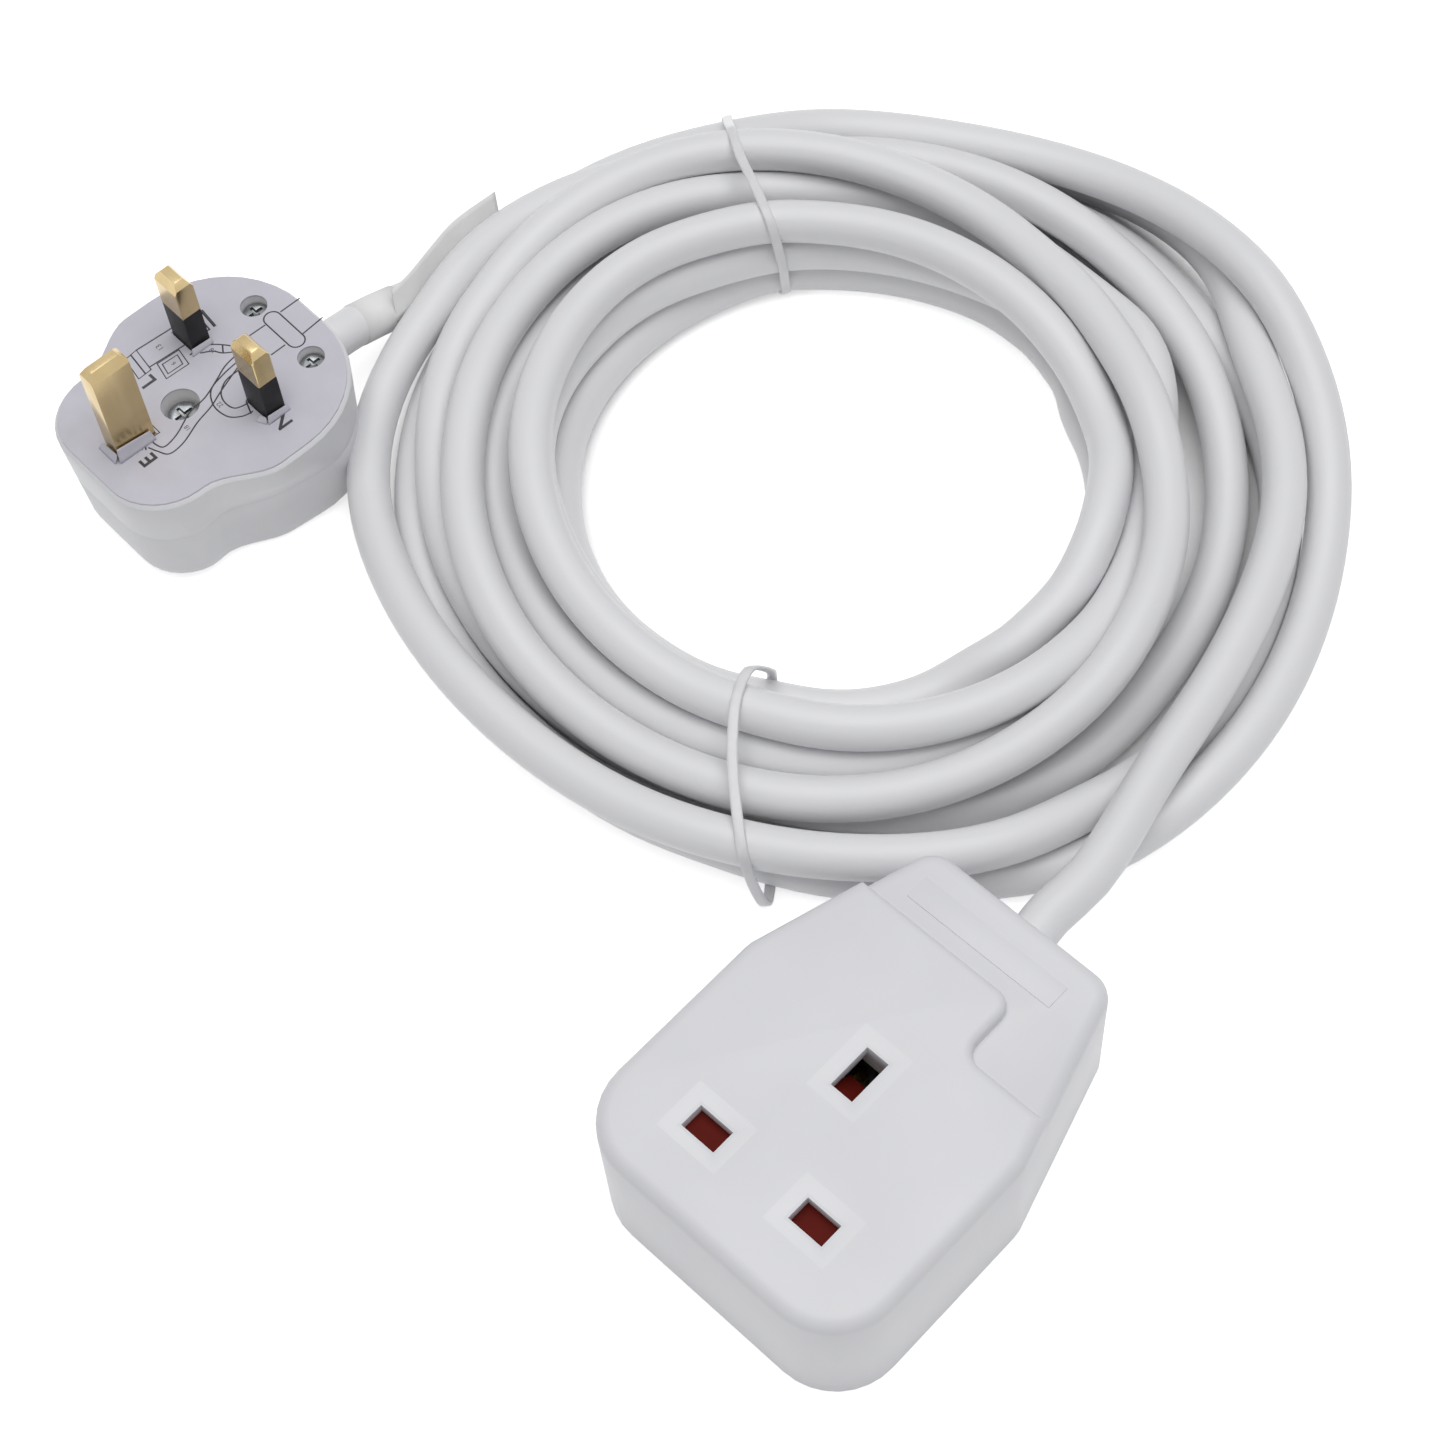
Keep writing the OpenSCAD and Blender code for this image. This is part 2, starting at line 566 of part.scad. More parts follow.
module terminal_block() {
    difference() {
        block([terminal_w, terminal_w, terminal_h], [0, 0, 0]);
        along_y([0, -terminal_w, terminal_h / 2], wire_hole_r, 2 * terminal_w);
        translate([0, 0, -cut]) cylinder(r = terminal_screw_r + fit_gap, h = terminal_h / 2 + cut);
    }
}

module line_contact(side) {
    color("goldenrod") translate([side * line_x, 0, 0]) {
        translate([0, line_y, 0]) rotate([0, 0, 90]) pin_clip(line_foot_z, line_clip_w);
        difference() {
            translate([-2.5, line_y, line_foot_z]) cube([5, line_term_y - line_y + terminal_w / 2, strip_t]);
            translate([0, line_term_y, 0]) cylinder(r = terminal_screw_r + fit_gap, h = sock_h);
        }
        translate([0, line_term_y, line_foot_z + strip_t]) terminal_block();
    }
}

module live_contact() {
    line_contact(1);
}

module neutral_contact() {
    line_contact(-1);
}

module earth_contact() {
    tab_y = earth_term_y - terminal_w / 2 - earth_y;
    color("goldenrod") {
        translate([0, earth_y, 0]) {
            pin_clip(earth_foot_z, earth_clip_w);
            translate([clip_gap / 2, 0, earth_block_z + 1]) cube([strip_t, tab_y + 0.5, 5]);
        }
        translate([0, earth_term_y, earth_block_z]) terminal_block();
    }
}

module socket_terminal_screws() {
    color("silver") {
        for (s = [-1, 1]) translate([s * line_x, line_term_y, line_foot_z])
            screw_up(terminal_screw_r, terminal_h / 2 - wire_hole_r + strip_t, clamp_head_r);
        translate([0, earth_term_y, earth_block_z])
            screw_up(terminal_screw_r, terminal_h / 2 - wire_hole_r, clamp_head_r);
    }
}

module socket_cord_clamp() {
    color("gainsboro") difference() {
        block([clamp_w, clamp_d, clamp_t], [0, clamp_y, clamp_top_z - clamp_t]);
        for (s = [-1, 1]) translate([s * clamp_x, clamp_y, 0]) cylinder(r = clamp_screw_r + 0.2, h = sock_h);
    }
}

module socket_clamp_screws() {
    color("silver") for (s = [-1, 1]) translate([s * clamp_x, clamp_y, clamp_top_z - clamp_t])
        screw_up(clamp_screw_r, clamp_screw_l, clamp_head_r);
}

// Route of a line core round the earth terminal, side is 1 or -1
function line_core(side) = [
    [side * 1.7, sheath_end_y, cord_z + 0.8],
    [side * 1.7, sheath_end_y - 1, cord_z + 0.8],
    [side * terminal_w * 0.46, (sheath_end_y - 1 + earth_term_y + terminal_w / 2) / 2, core_over_z],
    [side * (terminal_w / 2 + core_d + 0.7), earth_term_y, core_over_z],
    [side * (line_x - 1.2), (earth_term_y + line_term_y) / 2 + 2, (core_over_z + line_wire_z) / 2],
    [side * line_x, line_term_y + terminal_w / 2 + 5, line_wire_z],
    [side * line_x, line_term_y + terminal_w / 2, line_wire_z]];

module socket_core_brown() {
    color("saddlebrown") swept(line_core(1), core_d / 2, 8);
}

module socket_core_blue() {
    color("royalblue") swept(line_core(-1), core_d / 2, 8);
}

module socket_core_green_yellow() {
    rear = earth_term_y + terminal_w / 2;
    color("yellowgreen") swept([[0, sheath_end_y, cord_z - 1.8], [0, sheath_end_y - 1, cord_z - 1.8],
        [0, (rear + sheath_end_y) / 2, (cord_z - 1.8 + earth_wire_z) / 2], [0, rear, earth_wire_z]], core_d / 2, 8);
}

// ---- Plug ----
module at_plug() {
    translate(plug_at) rotate([0, 0, plug_turn]) children();
}

module plug_form(levels, wall) {
    rings = [for (z = levels) [for (p = plug_outline(z, wall)) [p[0], p[1], z]]];
    polyhedron([for (g = rings) for (p = g) p], rings_faces(len(rings[0]), len(levels)), convexity = 6);
}

module pin_hole(w, d) {
    block([w + 2 * fit_gap, d + 2 * fit_gap, plug_face_t + 2 * cut], [0, 0, plug_floor_z - cut]);
}

module plug_cord_hole() {
    along_y([0, plug_end_y - plug_wall - 4, split_z], cord_d / 2 + gland_room, plug_wall + 6);
}

module plug_base() {
    h = plug_floor_z - split_z;
    color("white") at_plug() difference() {
        union() {
            difference() {
                plug_form([split_z, split_z + 2, grip_top_z - 2, grip_top_z, plug_h - face_edge, plug_h], 0);
                plug_form([split_z - cut, split_z + 2, grip_top_z - 2, grip_top_z, plug_floor_z], plug_wall);
            }
            translate([0, cover_screw_y, split_z]) cylinder(r = cover_screw_r + 2.4, h = h + cut);
            block([5, 5, h + cut - 0.1], [fuse_x, fuse_y - cap_mid, split_z + 0.1]);
            block([11, 6.4, plug_floor_z - split_z - cord_d / 2 - clamp_room + cut],
                [0, grip_screw_y, split_z + cord_d / 2 + clamp_room]);
            for (s = [-1, 1]) translate([s * grip_screw_x, grip_screw_y, plug_floor_z - 2])
                cylinder(r = clamp_head_r + 1.2, h = 2 + cut);
        }
        pin_hole(pin_t, earth_pin_w);
        for (s = [-1, 1]) translate([s * line_x, earth_gap, 0]) pin_hole(line_pin_w, pin_t);
        translate([0, cover_screw_y, 0]) {
            cylinder(r = cover_screw_r + 0.2, h = plug_h + cut);
            translate([0, 0, plug_h - screw_recess - screw_head_h]) cylinder(r = cover_head_r + 0.7, h = big);
        }
        for (s = [-1, 1]) translate([s * grip_screw_x, grip_screw_y, 0]) {
            cylinder(r = clamp_screw_r + 0.2, h = plug_h + cut);
            translate([0, 0, plug_h - screw_recess - screw_head_h + 1]) cylinder(r = clamp_head_r + 0.25, h = big);
        }
        plug_cord_hole();
    }
}

module plug_cover() {
    low = [0, 0.4, 1.2, 2.4, back_r];
    color("white") at_plug() difference() {
        union() {
            difference() {
                plug_form(concat(low, [for (i = [1:4]) back_r + (split_z - back_r) * i / 4]), 0);
                plug_form([plug_back_t, back_r, for (i = [1:3]) back_r + (split_z + cut - back_r) * i / 3], plug_wall);
            }
            translate([0, cover_screw_y, plug_back_t - cut]) cylinder(r = cover_screw_r + 1.8, h = split_z - plug_back_t);
        }
        translate([0, cover_screw_y, plug_back_t]) cylinder(r = cover_screw_r + fit_gap, h = big);
        plug_cord_hole();
    }
}

// Screw hanging along -Z from a head in the plug's face
module face_screw(r, l, head_r, seat_z) {
    translate([0, 0, seat_z]) rotate([180, 0, 0]) screw_up(r, l, head_r);
}

module plug_cover_screw() {
    seat = plug_h - screw_recess - screw_head_h;
    color("silver") at_plug() translate([0, cover_screw_y, 0])
        face_screw(cover_screw_r, seat - plug_back_t - 3, cover_head_r, seat);
}

module cord_grip_bar() {
    color("gainsboro") at_plug() difference() {
        block(grip_bar, [0, grip_screw_y, grip_bar_z]);
        for (s = [-1, 1]) translate([s * grip_screw_x, grip_screw_y, 0])
            cylinder(r = clamp_screw_r + fit_gap, h = plug_h);
    }
}

module cord_grip_screws() {
    seat = plug_h - screw_recess - screw_head_h + 1;
    color("silver") at_plug() for (s = [-1, 1]) translate([s * grip_screw_x, grip_screw_y, 0])
        face_screw(clamp_screw_r, seat - grip_bar_z, clamp_head_r, seat);
}

// Blade with a tapered tip, w across X and d across Y, from z0 to z1
module blade(w, d, z0, z1) {
    h = z1 - z0;
    translate([0, 0, z0]) intersection() {
        translate([0, big / 2, 0]) rotate([90, 0, 0]) linear_extrude(height = big) polygon([
            [-w / 2, 0], [w / 2, 0], [w / 2, h - (w < d ? pin_tip_h : pin_tip_side)], [w / 2 - 1.1, h],
            [-w / 2 + 1.1, h], [-w / 2, h - (w < d ? pin_tip_h : pin_tip_side)]]);
        translate([-big / 2, 0, 0]) rotate([90, 0, 90]) linear_extrude(height = big) polygon([
            [-d / 2, 0], [d / 2, 0], [d / 2, h - (d < w ? pin_tip_h : pin_tip_side)], [d / 2 - 1.1, h],
            [-d / 2 + 1.1, h], [-d / 2, h - (d < w ? pin_tip_h : pin_tip_side)]]);
    }
}

module earth_pin() {
    color("goldenrod") at_plug() {
        blade(pin_t, earth_pin_w, plug_floor_z - cut, plug_h + earth_pin_l);
        difference() {
            translate([-8, -4.4, pin_head_z]) cube([10, 8.8, plug_floor_z - pin_head_z]);
            translate([-4.6, 0, pin_head_z - cut]) cylinder(r = terminal_screw_r + fit_gap, h = 3 + cut);
            along_y([-4.6, -big / 2, pin_head_z + 4], wire_hole_r, big);
        }
    }
}

module line_pin_blade() {
    neck = [line_pin_w - 2 * sleeve_t, pin_t - 2 * sleeve_t];
    block([neck[0], neck[1], plug_face_t + sleeve_l], [0, 0, plug_floor_z]);
    blade(line_pin_w, pin_t, plug_h + sleeve_l, plug_h + line_pin_l);
}

module live_pin() {
    color("goldenrod") at_plug() translate([line_x, earth_gap, 0]) {
        line_pin_blade();
        block([8, 6.6, plug_floor_z - pin_head_z], [0, 0, pin_head_z]);
    }
}

module neutral_pin() {
    color("goldenrod") at_plug() translate([-line_x, earth_gap, 0]) {
        line_pin_blade();
        difference() {
            block([8, terminal_w, plug_floor_z - pin_head_z], [0, 0, pin_head_z]);
            translate([0, 0, pin_head_z - cut]) cylinder(r = terminal_screw_r + fit_gap, h = 3 + cut);
            along_x([-5, 0, pin_head_z + 4], wire_hole_r, 10);
        }
    }
}

module pin_sleeve(side) {
    color("black") at_plug() translate([side * line_x, earth_gap, 0]) difference() {
        block([line_pin_w, pin_t, plug_face_t + sleeve_l], [0, 0, plug_floor_z]);
        block([line_pin_w - 2 * sleeve_t, pin_t - 2 * sleeve_t, big], [0, 0, plug_floor_z - cut]);
    }
}

module live_pin_sleeve() {
    pin_sleeve(1);
}

module neutral_pin_sleeve() {
    pin_sleeve(-1);
}

module fuse_body() {
    color("seashell") at_plug() along_y([fuse_x, fuse_y - fuse_l / 2 + 0.4, fuse_z], fuse_body_r, fuse_l - 0.8);
}

module fuse_caps() {
    color("silver") at_plug() difference() {
        for (s = [-1, 1]) along_y([fuse_x, fuse_y + s * cap_mid - fuse_cap_l / 2, fuse_z], fuse_d / 2, fuse_cap_l);
        along_y([fuse_x, fuse_y - fuse_l / 2 + 0.4, fuse_z], fuse_body_r, fuse_l - 0.8);
    }
}

// Spring clip open downwards round a fuse cap, its back flat on the underside of its seat
module fuse_clip(at_y) {
    g = fuse_d / 2 + clip_room;
    drop = fuse_d / 2 + 2;
    translate([fuse_x, at_y + 2.2, pin_head_z]) rotate([90, 0, 0]) linear_extrude(height = 4.4) polygon([
        [-g - clip_t, 0], [g + clip_t, 0], [g + clip_t, -drop], [g + clip_t + 0.4, -drop - 1.4],
        [g + 0.4, -drop - 1.5], [g, -drop + 0.1], [g, -clip_t], [-g, -clip_t], [-g, -drop + 0.1],
        [-g - 0.4, -drop - 1.5], [-g - clip_t - 0.4, -drop - 1.4], [-g - clip_t, -drop]]);
}

module pin_fuse_clip() {
    color("goldenrod") at_plug() fuse_clip(fuse_y + cap_mid);
}

module terminal_fuse_clip() {
    x1 = fuse_x - fuse_d / 2 - clip_room - clip_t;
    color("goldenrod") at_plug() {
        fuse_clip(fuse_y - cap_mid);
        difference() {
            translate([x1 - 3.8, fuse_y - cap_mid - 2.2, pin_head_z - 7]) cube([3.9, 6.6, 6]);
            translate([x1 - 2, fuse_y - cap_mid + 1, pin_head_z - 7 - cut])
                cylinder(r = fuse_screw_r + fit_gap, h = 2.5 + cut);
            along_y([x1 - 2, -big / 2, pin_head_z - 3.2], core_d / 2 + 0.05, big);
        }
    }
}

module plug_terminal_screws() {
    x1 = fuse_x - fuse_d / 2 - clip_room - clip_t;
    color("silver") at_plug() {
        translate([-4.6, 0, pin_head_z]) screw_up(terminal_screw_r, 2.5, clamp_head_r);
        translate([-line_x, earth_gap, pin_head_z]) screw_up(terminal_screw_r, 2.5, clamp_head_r);
        translate([x1 - 2, fuse_y - cap_mid + 1, pin_head_z - 7]) screw_up(fuse_screw_r, 2.2, 1.8);
    }
}

module plug_core_brown() {
    color("saddlebrown") at_plug() swept([[1.7, plug_sheath_y, split_z - 0.4], [1.7, plug_sheath_y - 1, split_z - 0.4], [2.9, 23, 12],
        [3.2, 19.5, 11], [4.95, 13.5, 10], [4.95, 9.6, 10.2], [3.6, 6.8, 11.3],
        [3.55, fuse_y - cap_mid + 4.4, pin_head_z - 3.2]], core_d / 2, 8);
}

module plug_core_blue() {
    color("royalblue") at_plug() swept([[-1.7, plug_sheath_y, split_z + 0.8], [-1.7, plug_sheath_y - 1, split_z + 0.8], [-3, 25, 16.3], [-5, 23, 18],
        [-line_x + 4.1, earth_gap, pin_head_z + 4]], core_d / 2, 8);
}

module plug_core_green_yellow() {
    color("yellowgreen") at_plug() swept([[-0.8, plug_sheath_y, split_z - 2.2], [-0.8, plug_sheath_y - 1, split_z - 2.2], [-3, 22, 12.6], [-6.4, 16, 13.6],
        [-6.4, 10, 16], [-4.8, 6.5, 18], [-4.6, 4.5, pin_head_z + 4]], core_d / 2, 8);
}

module wiring_card() {
    color("whitesmoke") at_plug() translate([0, 0, plug_h]) linear_extrude(height = card_t) difference() {
        polygon(plug_outline(plug_h - face_edge, card_inset));
        square([pin_t + 2 * slot_room, earth_pin_w + 2 * slot_room], center = true);
        for (s = [-1, 1]) translate([s * line_x, earth_gap])
            square([line_pin_w + 2 * slot_room, pin_t + 2 * slot_room], center = true);
        translate([0, cover_screw_y]) circle(r = cover_head_r + 0.7);
        for (s = [-1, 1]) translate([s * grip_screw_x, grip_screw_y]) circle(r = clamp_head_r + 0.25);
    }
}

// ---- Flex ----
module cord_socket_lead() {
    color("white") swept(socket_route, cord_d / 2, 12);
}

module cord_plug_lead() {
    color("white") swept(plug_route, cord_d / 2, 12);
}

module cord_coil() {
    color("white") difference() {
        translate([coil_at[0], coil_at[1], 0]) rotate_extrude($fn = 96) polygon(coil_side);
        translate([coil_at[0] + coil_hole_at[0], coil_at[1] + coil_hole_at[1], 0])
            rotate_extrude($fn = 96) polygon(coil_hole);
        for (t = ties) tie_frame(t) translate([-2 * tie_t, -tie_w / 2, -cut])
            cube([tie_span(t) + 4 * tie_t, tie_w, cut + tie_t]);
    }
}

// Ground line of a tie from its inner to its outer end: X runs outwards, Z up
module tie_frame(t) {
    d = t[1] - t[0];
    translate([t[0][0], t[0][1], 0]) rotate([0, 0, atan2(d[1], d[0])]) children();
}

// Closed flat band that follows a loop of places along and above its ground line
module cable_tie(t, loop) {
    w = tie_w / 2 - 0.05;
    h = tie_t / 2 - 0.05;
    m = len(loop);
    n = 8;
    way = [for (i = [0:m - 1]) unit(loop[(i + 1) % m] - loop[(i + m - 1) % m])];
    points = [for (i = [0:m - 1]) for (k = [0:n - 1]) let (a = 360 * k / n)
        [loop[i][0] - h * sin(a) * way[i][1], w * cos(a), loop[i][1] + h * sin(a) * way[i][0]]];
    color("gainsboro") tie_frame(t) polyhedron(points, [for (i = [0:m - 1]) for (k = [0:n - 1])
        let (i1 = (i + 1) % m, k1 = (k + 1) % n, a = i * n + k, b = i * n + k1, c = i1 * n + k1, d = i1 * n + k)
            each [[a, b, c], [a, c, d]]], convexity = 6);
}

module cable_tie_front() {
    cable_tie(ties[0], tie_loop_front);
}

module cable_tie_rear() {
    cable_tie(ties[1], tie_loop_rear);
}

socket_cover();
socket_base_plate();
socket_housing_screws();
shutter();
shutter_spring();
shutter_carrier();
carrier_screws();
earth_contact();
live_contact();
neutral_contact();
socket_terminal_screws();
socket_cord_clamp();
socket_clamp_screws();
socket_core_brown();
socket_core_blue();
socket_core_green_yellow();
plug_base();
plug_cover();
plug_cover_screw();
earth_pin();
live_pin();
neutral_pin();
live_pin_sleeve();
neutral_pin_sleeve();
fuse_body();
fuse_caps();
pin_fuse_clip();
terminal_fuse_clip();
plug_terminal_screws();
cord_grip_bar();
cord_grip_screws();
plug_core_brown();
plug_core_blue();
plug_core_green_yellow();
wiring_card();
cord_socket_lead();
cord_coil();
cord_plug_lead();
cable_tie_front();
cable_tie_rear();
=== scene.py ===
# %% [markdown]
# # A one-way extension cord, dressed in Blender
# The CAD model is the frame: every piece is in metres, in the CAD's own axes. This lesson loads it, aims
# the camera, lays the flex, and then gives each piece its own shape and finish.

# %% Load the frame
import json
import math

import bpy
import numpy as np
from mathutils import Matrix, Vector


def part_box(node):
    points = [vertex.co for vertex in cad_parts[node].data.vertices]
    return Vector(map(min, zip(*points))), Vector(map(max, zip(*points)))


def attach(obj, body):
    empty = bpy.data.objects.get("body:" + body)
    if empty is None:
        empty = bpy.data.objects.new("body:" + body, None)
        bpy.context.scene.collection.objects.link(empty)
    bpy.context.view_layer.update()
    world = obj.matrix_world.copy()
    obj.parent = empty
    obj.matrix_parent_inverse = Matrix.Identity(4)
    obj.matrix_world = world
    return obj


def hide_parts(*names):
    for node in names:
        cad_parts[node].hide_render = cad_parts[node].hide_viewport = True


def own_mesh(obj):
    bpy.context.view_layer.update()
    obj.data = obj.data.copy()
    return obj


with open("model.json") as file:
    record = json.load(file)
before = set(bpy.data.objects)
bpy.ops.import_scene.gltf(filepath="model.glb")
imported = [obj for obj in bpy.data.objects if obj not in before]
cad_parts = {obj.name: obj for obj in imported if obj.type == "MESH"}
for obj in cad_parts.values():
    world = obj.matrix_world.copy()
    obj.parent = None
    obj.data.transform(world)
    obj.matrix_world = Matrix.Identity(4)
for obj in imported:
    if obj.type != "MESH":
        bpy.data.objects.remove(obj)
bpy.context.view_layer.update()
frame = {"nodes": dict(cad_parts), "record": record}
nodes = frame["nodes"]
MM = 0.001
print("CAD nodes:", len(nodes))

# %% [markdown]
# ## The camera
# A long lens looks down at the cord from beyond the socket's outlet end, with a slight roll. The three
# columns of its matrix are its right, its up and the way back from its view.

# %% Camera
CAMERA_AT = Vector((0.1255, -0.13205, 0.4292))
TURN, DOWN, ROLL = math.radians(138.68), math.radians(58.53), math.radians(-5.91)
LENS_MM, SENSOR_MM = 71.08, 36


def aim_camera():
    view = Vector((math.cos(TURN) * math.cos(DOWN), math.sin(TURN) * math.cos(DOWN), -math.sin(DOWN)))
    level = view.cross(Vector((0, 0, 1))).normalized()
    rise = level.cross(view)
    right = math.cos(ROLL) * level + math.sin(ROLL) * rise
    up = math.cos(ROLL) * rise - math.sin(ROLL) * level
    data = bpy.data.cameras.new("camera")
    data.lens, data.sensor_width = LENS_MM, SENSOR_MM
    camera = bpy.data.objects.new("camera", data)
    bpy.context.scene.collection.objects.link(camera)
    camera.matrix_world = Matrix((
        (right.x, up.x, -view.x, CAMERA_AT.x), (right.y, up.y, -view.y, CAMERA_AT.y),
        (right.z, up.z, -view.z, CAMERA_AT.z), (0, 0, 0, 1)))
    bpy.context.scene.camera = camera
    return camera


camera = aim_camera()
print("lens:", round(camera.data.lens, 2), "mm")

# %% [markdown]
# ## The flex
# A real extension lead is one length of round PVC flex, and this one goes more than eight times round a
# flat ring. Turns of a coil aren't a spiral: each wanders between its neighbours, dips under some and rides
# over others. So the route is written as stations, a radius and a height every 15 degrees, and a short
# relaxation then smooths them, as the stiffness of the flex does, and keeps turns a diameter apart.

# %% Stations of the coil
FLEX_D = 0.008
FLEX_RADIUS = 500 * FLEX_D  # in mm, as the route is
COIL_AT = (-88.0, 95.5)
FIRST_ANGLE, STATION_STEP, FINE_STEP = -30, 15, 5
SOCKET_RUN = [(0, 24, 14), (0, 29, 14), (0, 33, 14), (0, 37.5, 14), (0, 41, 14)]
PLUG_RUN = [(-178, 39.5, 14.5), (-178.2, 35.5, 14.5), (-178.6, 31.4, 14.5)]
STATIONS = [  # (radius, height) in mm, from the socket round to the plug
    (101.2, 14.0), (86.3, 13.0), (80.1, 13.1), (77.1, 13.3), (76.5, 13.0), (75.6, 12.5), (75.1, 11.7),
    (81.3, 8.5), (83.7, 4.8), (81.9, 4.0), (79.6, 4.1), (74.8, 4.0), (76.0, 5.4), (81.8, 9.0),
    (85.5, 11.3), (87.9, 11.3), (90.3, 9.2), (90.4, 8.5), (87.3, 10.1), (85.1, 11.2), (83.8, 11.4),
    (83.9, 11.6), (84.3, 12.1), (85.6, 13.4), (86.3, 12.8), (81.5, 4.8), (80.2, 4.0), (77.9, 4.0),
    (76.8, 4.0), (75.8, 4.0), (72.9, 4.0), (72.6, 4.0), (72.7, 4.0), (71.7, 4.0), (69.7, 4.3),
    (66.8, 5.4), (66.8, 4.7), (67.9, 4.1), (68.0, 5.7), (66.8, 8.6), (66.9, 10.2), (67.0, 10.5),
    (66.1, 10.7), (65.9, 10.9), (65.8, 11.0), (66.0, 10.9), (66.1, 10.9), (65.8, 10.3), (64.6, 10.1),
    (62.5, 9.3), (59.0, 6.0), (56.4, 4.0), (54.3, 4.0), (52.7, 5.0), (50.3, 9.8), (47.8, 12.0),
    (45.8, 12.0), (45.1, 11.9), (45.5, 11.9), (47.0, 11.9), (49.0, 11.9), (51.1, 12.0), (54.8, 11.9),
    (57.4, 11.5), (59.1, 12.1), (59.5, 13.4), (58.3, 12.8), (57.8, 11.6), (57.7, 11.2), (57.9, 10.6),
    (58.1, 9.7), (58.1, 8.0), (58.3, 5.0), (56.2, 4.0), (50.9, 4.0), (47.9, 4.0), (45.8, 4.0),
    (44.6, 4.0), (44.7, 4.0), (46.7, 4.0), (46.5, 4.0), (46.6, 4.0), (47.2, 4.0), (48.6, 4.0),
    (50.2, 4.0), (51.8, 4.0), (53.3, 4.0), (54.5, 4.0), (55.4, 4.0), (55.5, 4.0), (55.5, 4.0),
    (55.2, 4.0), (54.2, 4.0), (53.3, 4.0), (52.4, 4.0), (51.1, 4.0), (50.3, 4.7), (51.2, 10.5),
    (49.8, 13.2), (48.8, 17.7), (45.9, 16.7), (44.2, 14.5), (42.9, 14.9), (41.5, 17.2), (41.2, 18.6),
    (42.0, 19.3), (43.7, 19.7), (46.1, 19.9), (48.8, 20.0), (52.5, 19.9), (56.1, 19.8), (57.9, 19.6),
    (58.4, 20.2), (58.9, 21.4), (59.7, 20.8), (60.4, 19.3), (61.1, 18.6), (61.9, 17.9), (62.9, 18.3),
    (63.2, 17.9), (62.7, 17.9), (60.7, 17.2), (57.8, 14.5), (54.3, 11.8), (52.3, 11.8), (53.3, 13.2),
    (56.8, 14.5), (56.8, 9.9), (58.3, 6.9), (60.5, 6.9), (61.2, 8.9), (61.3, 11.4), (63.1, 13.7),
    (66.6, 15.6), (69.8, 15.6), (70.8, 15.8), (71.0, 17.2), (71.6, 17.1), (72.8, 16.8), (73.7, 14.7),
    (73.7, 12.4), (73.9, 12.0), (74.1, 12.0), (73.4, 12.8), (71.5, 14.4), (68.9, 17.7), (64.2, 19.8),
    (59.5, 19.5), (54.7, 20.0), (51.3, 21.1), (49.1, 20.5), (49.1, 19.9), (50.3, 18.7), (54.5, 17.4),
    (58.9, 17.7), (63.3, 19.4), (68.7, 19.7), (74.5, 17.9), (77.9, 15.3), (79.6, 13.2), (79.1, 11.2),
    (77.3, 10.4), (76.1, 9.5), (73.8, 6.5), (71.9, 4.2), (70.8, 4.0), (70.3, 4.0), (71.5, 4.0),
    (73.0, 4.0), (71.6, 4.0), (68.8, 4.0), (67.6, 4.0), (67.0, 4.1), (66.4, 5.8), (66.1, 8.4),
    (66.2, 9.2), (67.1, 9.7), (68.0, 11.4), (68.0, 13.2), (69.3, 13.1), (70.9, 11.6), (73.6, 9.8),
    (78.3, 7.0), (82.0, 4.7), (82.8, 4.0), (82.1, 4.0), (82.0, 4.0), (81.5, 4.0), (80.6, 4.0),
    (81.2, 4.0), (82.5, 4.0), (84.7, 4.0), (87.1, 4.0), (89.5, 5.5), (88.1, 5.9), (85.9, 4.9),
    (84.7, 5.9), (84.2, 10.7), (81.3, 16.8), (79.7, 16.9), (78.9, 13.6), (77.3, 11.8), (76.1, 11.7),
    (77.4, 11.6), (84.3, 5.9), (88.2, 4.0), (89.3, 4.2), (89.3, 8.5), (103.7, 14.5),
]
print("stations:", len(STATIONS), "over", round((len(STATIONS) - 1) * STATION_STEP / 360, 2), "turns")

# %% [markdown]
# ## From stations to a curve
# A Catmull-Rom curve goes through every station, so none is lost, and it is read every 5 degrees. That is
# fine enough for the bends of the flex, and coarse enough to relax it quickly.


# %% Points of the coil
def between_stations(values):
    """Catmull-Rom values at the fine step."""
    v = np.array([values[0]] + list(values) + [values[-1]], float)
    out = []
    parts = STATION_STEP // FINE_STEP
    for i in range(1, len(v) - 2):
        for k in range(parts):
            t = k / parts
            out.append(0.5 * (2 * v[i] + (v[i + 1] - v[i - 1]) * t
                              + (2 * v[i - 1] - 5 * v[i] + 4 * v[i + 1] - v[i + 2]) * t * t
                              + (3 * v[i] - v[i - 1] - 3 * v[i + 1] + v[i + 2]) * t ** 3))
    return np.array(out + [v[-2]])


def coil_points():
    radius = between_stations([s[0] for s in STATIONS])
    height = between_stations([s[1] for s in STATIONS])
    angle = np.radians(FIRST_ANGLE + FINE_STEP * np.arange(len(radius)))
    return np.c_[COIL_AT[0] + radius * np.cos(angle), COIL_AT[1] + radius * np.sin(angle), height]


wound = coil_points()
print("coil points:", len(wound))

# %% [markdown]
# ## Relaxing the coil
# Three things act on wound flex: it is stiff, it stays about where it was laid, and two turns can't share
# one place. Each pass does the same to the points. It eases bends that are too tight, fairs the curve,
# pulls each point a little towards its station, and pushes turns apart that are nearer than a diameter.
# No turn sinks into the ground, and over the lower leg of a tie the ground counts as a little higher.

# %% The floor under the coil
TIE_ANGLES = (-65, 152)  # where turns ride over a tie's lower leg
TIE_ROOM, TIE_SPREAD = 0.9, 9  # how high, in mm, and how far, in degrees


